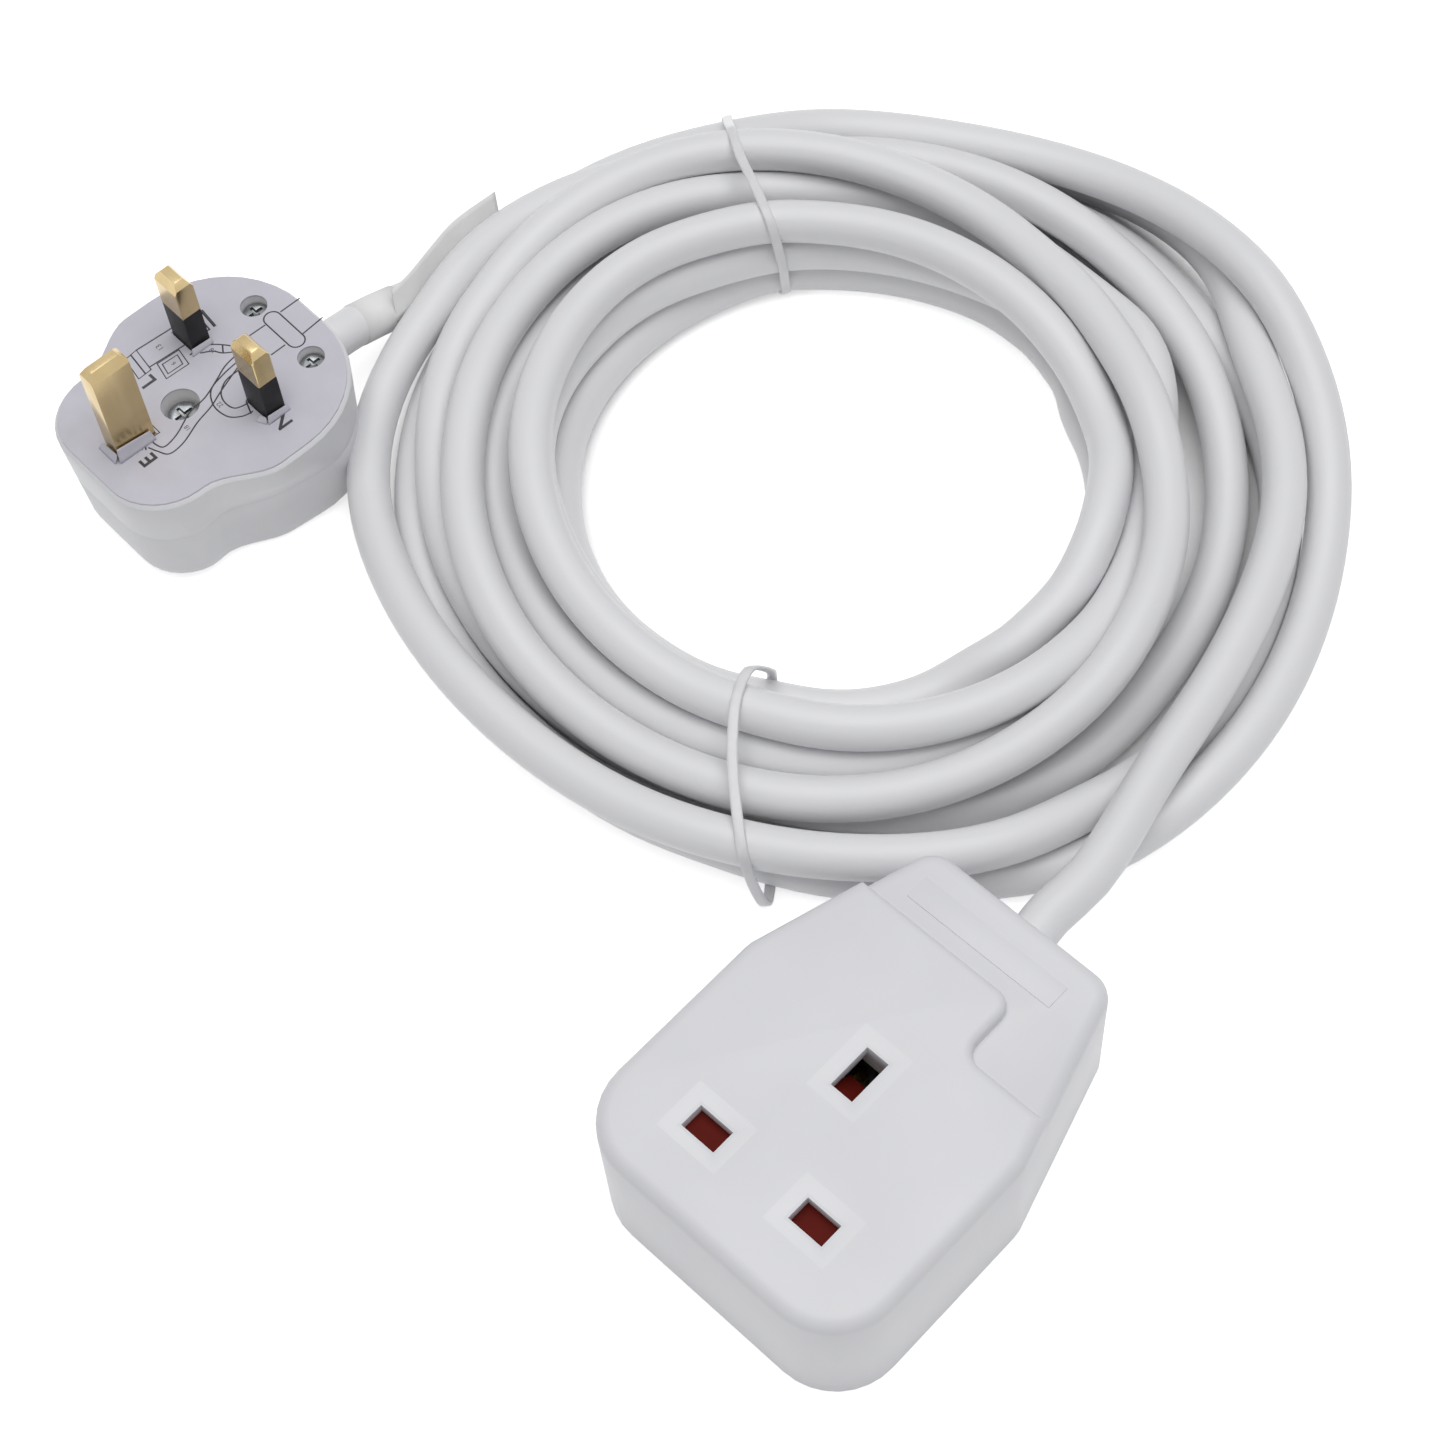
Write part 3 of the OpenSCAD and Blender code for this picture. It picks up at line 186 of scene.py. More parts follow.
def lowest_height(count):
    angle = FIRST_ANGLE + FINE_STEP * np.arange(count)
    lift = sum(np.exp(-((((angle - tie + 180) % 360) - 180) / TIE_SPREAD) ** 2) for tie in TIE_ANGLES)
    return FLEX_RADIUS + TIE_ROOM * lift


floor = lowest_height(len(wound))
print("lowest middle of the flex:", round(floor.min(), 1), "to", round(floor.max(), 1), "mm")


# %% The moves of one pass
TIGHTEST_BEND = 36.0  # in mm
EASE_FROM, EASE_UP_TO, EASE_BY = 0.95, 0.3, 2  # starts a little before the tightest bend
APART, NEVER_ZERO = 8.05, 0.01  # in mm
PUSHING = 0.3  # the share of the way that one push goes
TURN_POINTS, MOST_TURNS = 360 // FINE_STEP, 9


def ease_tight_bends(points):
    """Moves points towards the middle of their neighbours where the flex would bend too tightly."""
    chord = points[6:] - points[:-6]
    middle = points[3:-3] - (points[6:] + points[:-6]) / 2
    bend = 8 * np.linalg.norm(middle, axis=1) / (chord ** 2).sum(1)
    tight = np.clip(bend * TIGHTEST_BEND - EASE_FROM, 0, EASE_UP_TO) * EASE_BY
    points[3:-3] -= tight[:, None] * middle


def push_turns_apart(points):
    """Moves each pair of turns apart, square to the flex, where they are nearer than APART."""
    way = np.gradient(points, axis=0)
    way /= np.linalg.norm(way, axis=1)[:, None]
    for turns in range(1, MOST_TURNS):
        count = len(points) - turns * TURN_POINTS
        low, high = points[:count], points[turns * TURN_POINTS:]
        gap = high - low
        along = way[:count] + way[turns * TURN_POINTS:]
        along /= np.linalg.norm(along, axis=1)[:, None]
        gap = gap - (gap * along).sum(1)[:, None] * along
        distance = np.linalg.norm(gap, axis=1)
        push = np.clip(APART - distance, 0, None) * PUSHING / np.maximum(distance, NEVER_ZERO)
        low -= gap * push[:, None]
        high += gap * push[:, None]


print("turns are kept", APART, "mm apart")

# %% Relax the coil
PASSES, PUSHES = 400, 3
FAIRING, HOMING = 0.3, 0.05  # the share of each move that one pass makes


def relax(points):
    home = points.copy()
    for _ in range(PASSES):
        ease_tight_bends(points)
        fair = (4 * points[1:-3] + 4 * points[3:-1] - points[:-4] - points[4:]) / 6
        points[2:-2] += FAIRING * (fair - points[2:-2])
        points[2:-2] += HOMING * (home - points)[2:-2]
        for _ in range(PUSHES):
            push_turns_apart(points)
            points[:, 2] = np.maximum(points[:, 2], floor)
        points[:2], points[-2:] = home[:2], home[-2:]
    return points


coil = relax(wound)
print("coil height:", round(coil[:, 2].max() + FLEX_RADIUS, 1), "mm")

# %% [markdown]
# ## The whole route
# Short straight runs join the coil to the socket and to the plug, inside their walls. Last, one more point
# goes into each step, so that the flex looks round from close by.


# %% Route of the flex
def finer(points):
    """A point in the middle of each step, on the curve through its neighbours."""
    p = np.vstack([2 * points[0] - points[1], points, 2 * points[-1] - points[-2]])
    middle = (9 * (p[1:-2] + p[2:-1]) - p[:-3] - p[3:]) / 16
    out = np.empty((2 * len(points) - 1, 3))
    out[::2], out[1::2] = points, middle
    return out


route_mm = np.vstack([SOCKET_RUN, coil, PLUG_RUN])
route = finer(route_mm) * MM

# %% [markdown]
# ## A tube with its own map
# A tube made ring by ring can carry a UV map in metres: across runs round the tube and along runs down
# it. Marks that an extruder leaves can then follow the flex round every bend. Three small helpers come
# first: one selects a single piece, because operators act on all that is selected, one turns its faces
# outwards, and one joins rings of points into a piece.


# %% Small helpers
def only(piece):
    """Makes a piece the only selected and the active one."""
    bpy.ops.object.select_all(action="DESELECT")
    piece.select_set(True)
    bpy.context.view_layer.objects.active = piece


def turn_outwards(piece):
    only(piece)
    bpy.ops.object.mode_set(mode="EDIT")
    bpy.ops.mesh.select_all(action="SELECT")
    bpy.ops.mesh.normals_make_consistent(inside=False)
    bpy.ops.object.mode_set(mode="OBJECT")


def ringed(name, rings, closed):
    """A piece from rings of points, closed on itself or with a cap at each end."""
    count, sides = rings.shape[:2]
    faces = [(k * sides + i, k * sides + (i + 1) % sides,
              (k + 1) % count * sides + (i + 1) % sides, (k + 1) % count * sides + i)
             for k in range(count if closed else count - 1) for i in range(sides)]
    if not closed:
        faces += [tuple(range(sides))[::-1], tuple(range((count - 1) * sides, count * sides))]
    mesh = bpy.data.meshes.new(name)
    mesh.from_pydata(rings.reshape(-1, 3).tolist(), [], faces)
    piece = bpy.data.objects.new(name, mesh)
    bpy.context.scene.collection.objects.link(piece)
    return piece


print("helpers: only, turn_outwards, ringed")


# %% Tube helper
def tube(name, points, radius, sides):
    """A tube swept along points, its UV map in metres."""
    points = np.asarray(points, float)
    way = np.gradient(points, axis=0)
    way /= np.linalg.norm(way, axis=1)[:, None]
    side = np.cross(way[0], (0, 0, 1.0))
    sides_at = []
    for t in way:  # carry the side vector along without a twist
        side = side - side.dot(t) * t
        side /= np.linalg.norm(side)
        sides_at.append(side)
    sides_at = np.array(sides_at)
    ups = np.cross(sides_at, way)
    turn = np.arange(sides) * 2 * math.pi / sides
    piece = ringed(name, points[:, None] + radius * (np.cos(turn)[None, :, None] * sides_at[:, None]
                                                     + np.sin(turn)[None, :, None] * ups[:, None]), False)
    mesh = piece.data
    lengths = np.r_[0, np.cumsum(np.linalg.norm(np.diff(points, axis=0), axis=1))]
    uv = mesh.uv_layers.new(name="UVMap")
    for face in mesh.polygons:
        places = [divmod(mesh.loops[corner].vertex_index, sides) for corner in face.loop_indices]
        at_seam = any(i == sides - 1 for _, i in places)
        for corner, (ring, i) in zip(face.loop_indices, places):
            across = sides if i == 0 and at_seam else i
            uv.data[corner].uv = (across / sides * 2 * math.pi * radius, lengths[ring])
    turn_outwards(piece)
    mesh.shade_smooth()
    return piece


print("helper: tube")

# %% Tube of the flex
FLEX_SIDES = 20
flex = tube("flex", route, FLEX_D / 2, FLEX_SIDES)
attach(flex, "cord_set")
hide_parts("cord_socket_lead", "cord_coil", "cord_plug_lead")
print("flex faces:", len(flex.data.polygons))

# %% [markdown]
# ## Finishes
# Moulded PVC and ABS are never one flat colour: the mould leaves a fine spark-eroded grain, the white
# drifts a little over a part, and handling polishes it unevenly. One helper builds such a finish from
# noise in Object coordinates, and each material gives it its own colours, grain size and gloss.

# %% Finish helper
RAMP_FROM, RAMP_TO = 0.3, 0.7  # the noise values that give the two colours
finishes = {}


def add_node(tree, kind, **values):
    node = tree.nodes.new(kind)
    for key, value in values.items():
        if key in node.inputs:
            node.inputs[key].default_value = value
        else:
            setattr(node, key, value)
    return node


def blend_colours(tree, factor, low, high):
    ramp = add_node(tree, "ShaderNodeValToRGB")
    first, last = ramp.color_ramp.elements
    first.position, last.position = RAMP_FROM, RAMP_TO
    first.color, last.color = (*low, 1), (*high, 1)
    tree.links.new(factor, ramp.inputs["Fac"])
    return ramp.outputs["Color"]


def finish(name, low, high, patch, grain, depth, gloss, stretch=(1, 1, 1), coords="Object", **shader):
    """Makes a material and keeps it in finishes: two colours over patches of a size, a grain of a size and
    depth, and a range of roughness."""
    material = bpy.data.materials.new(name)
    material.use_nodes = True
    tree = material.node_tree
    skin = tree.nodes["Principled BSDF"]
    for key, value in shader.items():
        skin.inputs[key.replace("_", " ")].default_value = value
    where = add_node(tree, "ShaderNodeTexCoord")
    scale = add_node(tree, "ShaderNodeMapping")
    scale.inputs["Scale"].default_value = stretch
    tree.links.new(where.outputs[coords], scale.inputs["Vector"])
    drift = add_node(tree, "ShaderNodeTexNoise", Scale=1 / patch, Detail=3.0, Roughness=0.55)
    fine_grain = add_node(tree, "ShaderNodeTexNoise", Scale=1 / grain, Detail=4.0, Roughness=0.6)
    for noise in (drift, fine_grain):
        tree.links.new(scale.outputs["Vector"], noise.inputs["Vector"])
    tree.links.new(blend_colours(tree, drift.outputs["Fac"], low, high), skin.inputs["Base Color"])
    shine = add_node(tree, "ShaderNodeMapRange")
    shine.inputs["To Min"].default_value, shine.inputs["To Max"].default_value = gloss
    tree.links.new(fine_grain.outputs["Fac"], shine.inputs["Value"])
    tree.links.new(shine.outputs["Result"], skin.inputs["Roughness"])
    bump = add_node(tree, "ShaderNodeBump", Distance=depth, Strength=1.0)
    tree.links.new(fine_grain.outputs["Fac"], bump.inputs["Height"])
    tree.links.new(bump.outputs["Normal"], skin.inputs["Normal"])
    finishes[name] = material


print("the two colours blend over noise from", RAMP_FROM, "to", RAMP_TO)

# %% [markdown]
# ## The white plastics
# Four whites lie side by side here, and each differs: the housings are cool and half glossy, the hidden
# mouldings are duller, and the flex is softer PVC whose grain is drawn out along it by the extruder. That
# grain reads the tube's UV map, and the others read Object coordinates.

# %% White plastics
finish("housing_white", (0.70, 0.70, 0.725), (0.74, 0.74, 0.76), 0.03, 0.0006, 0.00001, (0.38, 0.50))
finish("plug_white", (0.69, 0.69, 0.71), (0.735, 0.735, 0.75), 0.02, 0.0005, 0.00001, (0.36, 0.48))
finish("inner_plastic", (0.60, 0.60, 0.60), (0.66, 0.66, 0.65), 0.01, 0.0005, 0.00002, (0.45, 0.6))
finish("flex_white", (0.745, 0.745, 0.76), (0.79, 0.79, 0.80), 0.025, 0.0012, 0.00003,
       (0.36, 0.46), stretch=(1, 0.12, 1), coords="UV")
flex.data.materials.append(finishes["flex_white"])
print("finishes:", len(finishes))

# %% [markdown]
# ## The metals
# The pins are drawn brass with fine lines along them, the screws are zinc-plated steel gone a little dark,
# the spring is bare steel and the fuse's caps are nickel-plated. All are fully metallic, so their colour
# shows only in what they mirror.

# %% Metals
finish("brass", (0.51, 0.39, 0.20), (0.66, 0.52, 0.29), 0.006, 0.0004, 0.000012, (0.16, 0.30),
       stretch=(1, 1, 0.12), Metallic=1.0)
finish("zinc_screws", (0.21, 0.22, 0.23), (0.33, 0.34, 0.35), 0.002, 0.0003, 0.000012,
       (0.22, 0.40), Metallic=1.0)
finish("spring_steel", (0.38, 0.39, 0.41), (0.48, 0.49, 0.51), 0.002, 0.0003, 0.00001,
       (0.25, 0.40), Metallic=1.0)
finish("fuse_cap_metal", (0.60, 0.60, 0.61), (0.70, 0.70, 0.71), 0.002, 0.0003, 0.00001,
       (0.20, 0.32), Metallic=1.0)
print("finishes:", len(finishes))

# %% [markdown]
# ## Small coloured parts
# The pins' sleeves are black, the shutter is a dull dark red, and the cores have their three standard
# colours. The fuse is off-white ceramic, and the card, the flag, the ink and the ties are matt or milky.

# %% Small coloured parts
finish("sleeve_black", (0.010, 0.010, 0.012), (0.018, 0.018, 0.020), 0.004, 0.0004, 0.00002,
       (0.42, 0.55), Specular_IOR_Level=0.3)
finish("shutter_red", (0.095, 0.007, 0.004), (0.125, 0.010, 0.006), 0.004, 0.0005, 0.00002,
       (0.55, 0.65), Specular_IOR_Level=0.08)
finish("core_brown", (0.12, 0.05, 0.025), (0.16, 0.07, 0.035), 0.004, 0.0005, 0.00002, (0.4, 0.5))
finish("core_blue", (0.03, 0.10, 0.42), (0.05, 0.13, 0.50), 0.004, 0.0005, 0.00002, (0.4, 0.5))
finish("core_green_yellow", (0.10, 0.32, 0.05), (0.70, 0.62, 0.06), 0.003, 0.0005, 0.00002, (0.4, 0.5))
finish("fuse_ceramic", (0.72, 0.69, 0.62), (0.78, 0.75, 0.68), 0.004, 0.0004, 0.00001, (0.3, 0.45))
finish("card_board", (0.55, 0.54, 0.60), (0.59, 0.58, 0.65), 0.008, 0.0003, 0.000008, (0.5, 0.62))
finish("flag_paper", (0.80, 0.80, 0.795), (0.86, 0.86, 0.855), 0.006, 0.0004, 0.00001, (0.5, 0.65))
finish("print_ink", (0.030, 0.030, 0.036), (0.055, 0.055, 0.062), 0.002, 0.0004, 0.000004, (0.5, 0.6))
finish("tie_milky", (0.82, 0.82, 0.84), (0.88, 0.88, 0.89), 0.004, 0.002, 0.000004,
       (0.25, 0.34), Transmission_Weight=0.2, IOR=1.5)
print("finishes:", len(finishes))

# %% [markdown]
# ## Every CAD node gets its finish
# The record names a material slot for each node. Each slot but two has a finish of its own name, so one
# short loop dresses every node.

# %% Dress the nodes
OTHER_NAMES = {"card": "card_board", "tie_clear": "tie_milky"}
slot_of = {row["node"]: row["material_slot"] for row in frame["record"]["subparts"]}
for name, node in nodes.items():
    node.data.materials.clear()
    slot = slot_of[name]
    node.data.materials.append(finishes[OTHER_NAMES.get(slot, slot)])
print("dressed nodes:", len(slot_of))

# %% [markdown]
# ## Finer copies of CAD pieces
# The CAD shapes are right, but their edges are knife sharp and their meshes are loose triangles. A copy is
# merged, its flat faces are joined, and a narrow bevel softens its edges, so that they catch the light as
# moulded and stamped edges do. The copy then stands for its node.

# %% Finer copy helper
MERGE_WITHIN, FLAT_WITHIN = 0.000002, math.radians(0.5)
BEVEL_ABOVE, BEVEL_STEPS = math.radians(34), 2
SMOOTH_BELOW, PIN_SMOOTH_BELOW = 30, 16  # degrees


def finer_copy(node, body, edge, smooth_below=SMOOTH_BELOW):
    piece = nodes[node].copy()
    piece.data = nodes[node].data.copy()
    piece.name = piece.data.name = node + "_fine"
    for key in list(piece.keys()):
        del piece[key]
    piece.parent = None
    piece.matrix_world = Matrix.Identity(4)
    bpy.context.scene.collection.objects.link(piece)
    only(piece)
    if piece.data.has_custom_normals:
        bpy.ops.mesh.customdata_custom_splitnormals_clear()
    bpy.ops.object.mode_set(mode="EDIT")
    bpy.ops.mesh.select_all(action="SELECT")
    bpy.ops.mesh.remove_doubles(threshold=MERGE_WITHIN)
    bpy.ops.mesh.dissolve_limited(angle_limit=FLAT_WITHIN)
    bpy.ops.object.mode_set(mode="OBJECT")
    if edge:
        soft = piece.modifiers.new("edges", "BEVEL")
        soft.width, soft.segments = edge, BEVEL_STEPS
        soft.limit_method, soft.angle_limit = "ANGLE", BEVEL_ABOVE
        bpy.ops.object.modifier_apply(modifier=soft.name)
    bpy.ops.object.shade_smooth_by_angle(angle=math.radians(smooth_below))
    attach(piece, body)
    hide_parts(node)
    return piece


CORD_SET_COPIES = {  # how wide the edges' bevel is, in metres
    "socket_cover": 0.00025, "plug_base": 0.00025, "plug_cover": 0.0002, "earth_pin": 0.00012,
    "live_pin": 0.0003, "neutral_pin": 0.0003, "live_pin_sleeve": 0.00012, "neutral_pin_sleeve": 0.00012,
    "plug_cover_screw": 0.0001, "cord_grip_screws": 0.0001}
fine = {node: finer_copy(node, "cord_set", edge, PIN_SMOOTH_BELOW if node.endswith("pin") else SMOOTH_BELOW)
        for node, edge in CORD_SET_COPIES.items()}
fine["wiring_card"] = finer_copy("wiring_card", "card", 0)
for name, piece in fine.items():
    print(name, len(piece.data.polygons), "faces")

# %% [markdown]
# ## The shutter's spring
# A steel spring pushes the shutter shut. As the shutter slides back, the spring closes up against its
# post, so it can't be a rigid piece. Its finer copy gets a mesh of its own, apart from the CAD node's.

# %% Shutter spring
spring = finer_copy("shutter_spring", "cord_set", 0)
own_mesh(spring)

# %% [markdown]
# ## The ties
# Two thin flat bands of milky nylon hold the coil, pulled tight. A tight band takes the shortest way round
# the turns that it holds. So the first step is to find where the flex crosses a band's upright plane.

# %% Where the flex crosses the ties
FRONT_TIE = ((-73.5, 52.0), (-39.5, 14.6))  # where each band runs along the ground, inside to outside
REAR_TIE = ((-126.5, 116.0), (-169.0, 138.6))
TIE_W, TIE_T, TIE_SLACK = 1.9, 0.8, 0.08  # in mm
TIE_FROM, TIE_TO = -5, 55  # the stretch of the ground line that a band can reach, in mm


def along_line(inner, outer):
    return (outer - inner) / np.linalg.norm(outer - inner)


def crossings(inner, outer):
    """Where the flex crosses a band's plane: how far along its ground line, and how high."""
    inner, outer = np.array(inner), np.array(outer)
    along = along_line(inner, outer)
    flat = route_mm[:, :2] - inner
    place, aside = flat @ along, flat @ np.array([-along[1], along[0]])
    found = []
    for k in np.flatnonzero(aside[:-1] * aside[1:] < 0):
        t = aside[k] / (aside[k] - aside[k + 1])
        at = place[k] + t * (place[k + 1] - place[k])
        if TIE_FROM < at < TIE_TO:
            found.append((at, route_mm[k, 2] + t * (route_mm[k + 1, 2] - route_mm[k, 2])))
    return np.array(found)


print("turns held:", [len(crossings(*line)) for line in (FRONT_TIE, REAR_TIE)])

# %% [markdown]
# ## A taut loop
# Each crossing gets a circle of dots round it, and the outline that encloses all the dots is the band's
# loop. It is found as a rubber band would find it: the dots are walked from left to right, and each one
# that the band would skip is dropped. A few more dots keep the front band a little proud where it turns
# over, as stiff nylon does. A loop made this way never cuts into a turn, however the coil is laid.

# %% Taut loop
FRONT_PROUD = [(10.9, 19.0), (10.8, 20.6), (11.3, 21.9), (12.6, 22.9), (45.6, 1.2), (46.8, 2.6),
               (46.6, 4.6)]  # place along the ground line and height, in mm
LOOP_POINTS, CIRCLE_DOTS, LOOP_SMOOTHINGS = 96, 48, 2
GROUND_GAP = 0.02  # in mm


def outer_chain(dots):
    """The dots that a band over them would touch, from the first to the last but one."""
    chain = []
    for x, y in dots:
        while len(chain) > 1 and ((chain[-1][0] - chain[-2][0]) * (y - chain[-2][1])
                                  - (chain[-1][1] - chain[-2][1]) * (x - chain[-2][0])) <= 0:
            chain.pop()
        chain.append((x, y))
    return chain[:-1]


def taut_loop(centres, proud):
    """The closed outline round circles at these places and some proud dots, as evenly spaced points."""
    away = FLEX_RADIUS + TIE_T / 2 + TIE_SLACK
    turn = np.arange(CIRCLE_DOTS) * 2 * math.pi / CIRCLE_DOTS
    dots = (centres[:, None] + away * np.c_[np.cos(turn), np.sin(turn)][None]).reshape(-1, 2)
    dots = sorted([tuple(dot) for dot in dots] + list(proud))
    outline = np.array(outer_chain(dots) + outer_chain(dots[::-1]))
    outline = np.vstack([outline, outline[:1]])
    far = np.r_[0, np.cumsum(np.linalg.norm(np.diff(outline, axis=0), axis=1))]
    even = np.linspace(0, far[-1], LOOP_POINTS, endpoint=False)
    loop = np.c_[np.interp(even, far, outline[:, 0]), np.interp(even, far, outline[:, 1])]
    loop[:, 1] = np.maximum(loop[:, 1], TIE_T / 2 + GROUND_GAP)
    for _ in range(LOOP_SMOOTHINGS):
        loop = (np.roll(loop, 1, 0) + 4 * loop + np.roll(loop, -1, 0)) / 6
    return loop


front_loop = taut_loop(crossings(*FRONT_TIE), FRONT_PROUD)
rear_loop = taut_loop(crossings(*REAR_TIE), [])
print("loops:", [round(float(np.linalg.norm(loop - np.roll(loop, 1, 0), axis=1).sum())) for loop in
                 (front_loop, rear_loop)], "mm round")

# %% [markdown]
# ## Sweeping the bands
# A hand-wound band doesn't stay in one plane: it leans sideways a few millimetres as it goes round. The
# lean is a small table by clock place on the loop, smoothed. Then a flat section with rounded edges is
# swept round the loop.

# %% Lean of the bands
FRONT_LEAN = [(-162, 3.0), (-150, 2.8), (-90, 2.4), (-34, 3.2), (-24, 2.6), (-18, 1.6), (-8, 0.4),
              (5, -0.5), (16, -1.2), (25, -1.8), (41, -2.4), (64, -2.7), (91, -2.7), (113, -2.5),
              (130, -1.5), (146, 0.8), (160, 2.4), (178, 3.2)]  # clock place in degrees, lean in mm
REAR_LEAN = [(-167, -1.0), (-154, -1.7), (-96, 0), (-54, -1.0), (-41, -1.8), (-32, -2.5), (-21, -3.6),
             (-10, -3.8), (-2, -2.8), (11, -1.8), (31, -1.0), (55, -0.2), (79, 0.5), (104, 1.0), (123, 0.9),
             (137, 0.8), (145, 1.0), (156, 0.7), (168, 0), (180, -0.6)]
LEAN_SMOOTHINGS = 3


def lean_of(loop, rows):
    """Sideways lean of each point of a loop, from a table by clock place, smoothed."""
    middle = (loop.min(0) + loop.max(0)) / 2
    clock = np.degrees(np.arctan2(loop[:, 1] - middle[1], loop[:, 0] - middle[0]))
    lean = np.interp(clock, [row[0] for row in rows], [row[1] for row in rows], period=360)
    for _ in range(LEAN_SMOOTHINGS):
        lean = (np.roll(lean, 1) + 2 * lean + np.roll(lean, -1)) / 4
    return lean


print("widest lean:", max(abs(lean) for _, lean in FRONT_LEAN + REAR_LEAN), "mm")

# %% The two bands
BAND_SIDES, BAND_ROUND = 12, 0.6  # round 1 would make the section an ellipse, and 0 a box


def band_edge(wave, size):
    return (np.sign(wave) * np.abs(wave) ** BAND_ROUND * size / 2)[None, :, None]


def cable_tie(name, line, node, loop, lean):
    """A flat band swept round a tight loop over the ground line."""
    inner = np.array(line[0])
    along = along_line(inner, np.array(line[1]))
    loop = np.c_[loop[:, 0], lean_of(loop, lean), loop[:, 1]]
    way = np.roll(loop, -1, 0) - np.roll(loop, 1, 0)
    way /= np.linalg.norm(way, axis=1)[:, None]
    out = np.cross((0, 1.0, 0), way)
    out /= np.linalg.norm(out, axis=1)[:, None]
    wide = np.cross(way, out)
    turn = np.arange(BAND_SIDES) * 2 * math.pi / BAND_SIDES
    ring = (loop[:, None] + band_edge(np.cos(turn), TIE_W) * wide[:, None]
            + band_edge(np.sin(turn), TIE_T) * out[:, None])
    rings = np.stack([inner[0] + ring[..., 0] * along[0] - ring[..., 1] * along[1],
                      inner[1] + ring[..., 0] * along[1] + ring[..., 1] * along[0], ring[..., 2]], 2) * MM
    tie = ringed(name, rings, True)
    turn_outwards(tie)
    tie.data.shade_smooth()
    tie.data.materials.append(finishes["tie_milky"])
    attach(tie, "cord_set")
    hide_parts(node)
    return tie


ties = [cable_tie("tie_front", FRONT_TIE, "cable_tie_front", front_loop, FRONT_LEAN),
        cable_tie("tie_rear", REAR_TIE, "cable_tie_rear", rear_loop, REAR_LEAN)]
print("tie faces:", [len(tie.data.polygons) for tie in ties])

# %% [markdown]
# ## The slots' frames
# Each slot of the socket sits in a shallow frame with a glossy slope, and its lighter border is a painted
# highlight.
# The slope's faces are picked by their place round a slot and by their tilt, and get a glossier material of
# a lighter colour, which paints that highlight.

# %% Slot frames
SLOTS = ((11.115, -23.5, 6.57, 4.17), (-11.115, -23.5, 6.57, 4.17),
         (0, -1.27, 4.36, 8.41))  # middle and size, in mm
RIM_WIDE, RIM_ABOVE = 2.9, 27  # in mm
STEEPEST, FLATTEST = 0.5, 0.99  # how far up a slope's faces point
# Lighter than housing_white, as a painted highlight on the slopes; the lower roughness is real gloss.
finish("slot_gloss_painted_highlight", (0.735, 0.735, 0.755), (0.765, 0.765, 0.785), 0.02, 0.0006, 0.000004, (0.26, 0.36))
cover = fine["socket_cover"]
cover.data.materials.append(finishes["slot_gloss_painted_highlight"])
highlighted_slope = 0
for face in cover.data.polygons:
    x, y, z = face.center / MM
    near = any(abs(x - u) < w / 2 + RIM_WIDE and abs(y - v) < h / 2 + RIM_WIDE for u, v, w, h in SLOTS)
    if near and z > RIM_ABOVE and STEEPEST < face.normal.z < FLATTEST:
        face.material_index, highlighted_slope = 1, highlighted_slope + 1
print("polished faces:", highlighted_slope)

# %% [markdown]
# ## The shelf's plate
# On the low shelf over the cord's entry stands a narrow raised plate, where a maker would put words. Here
# it stays bare: a cube stretched to the plate's size, with its edges rounded by a bevel. Nearly half of its
# thickness is sunk into the shelf, so that only a low step shows.

# %% Shelf plate
SHELF_TOP, PLATE_AT, PLATE_SIZE = 25.5, (-1.1, 29.6), (29.5, 4.6, 0.3)
PLATE_MIDDLE_OVER, PLATE_EDGE, PLATE_EDGE_STEPS = 0.02, 0.12, 2
bpy.ops.object.select_all(action="DESELECT")
bpy.ops.mesh.primitive_cube_add(
    size=1, location=(PLATE_AT[0] * MM, PLATE_AT[1] * MM, (SHELF_TOP + PLATE_MIDDLE_OVER) * MM),
    scale=[v * MM for v in PLATE_SIZE])
bpy.ops.object.transform_apply(location=True, rotation=True, scale=True)
shelf_plate = bpy.context.object
shelf_plate.name = shelf_plate.data.name = "shelf_plate"
rounded = shelf_plate.modifiers.new("edges", "BEVEL")
rounded.width, rounded.segments = PLATE_EDGE * MM, PLATE_EDGE_STEPS
bpy.ops.object.modifier_apply(modifier=rounded.name)
bpy.ops.object.shade_smooth_by_angle(angle=math.radians(SMOOTH_BELOW))
shelf_plate.data.materials.append(finishes["housing_white"])
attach(shelf_plate, "cord_set")
print("shelf plate faces:", len(shelf_plate.data.polygons))

# %% [markdown]
# ## The wiring card's print
# The loose card on the plug's pins shows how to wire it: the cord grip, the fuse in its holder, and three
# wires to their terminals, in fine dark lines with plain letters and numbers. It is drawn in the plug's own
# axes, whose y runs from the earth pin's end to the cord. Three helpers come first: one puts a place on the
# plug into the object's frame, and two draw the rounded lines.

# %% Lines on the plug
PLUG_AT, PLUG_TURN = (-180.2, 3.4), math.radians(-3.3)
CARD_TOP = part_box("wiring_card")[1][2]
CURVE_PARTS, HALF_TURN_STEPS = 6, 12


def on_plug(x, y, z=0.0):
    """A place on the plug, in mm along its own axes, in the object's frame."""
    c, s = math.cos(PLUG_TURN), math.sin(PLUG_TURN)
    return ((PLUG_AT[0] + x * c - y * s) * MM, (PLUG_AT[1] + x * s + y * c) * MM, z)


def eased(points):
    """A smooth curve through the points."""
    p = [points[0], *points, points[-1]]
    out = []
    for a, b, c, d in zip(p, p[1:], p[2:], p[3:]):
        for k in range(CURVE_PARTS):
            t = k / CURVE_PARTS
            out.append(tuple(0.5 * (2 * B + (C - A) * t + (2 * A - 5 * B + 4 * C - D) * t * t
                                    + (3 * B - A - 3 * C + D) * t ** 3) for A, B, C, D in zip(a, b, c, d)))
    return out + [p[-2]]


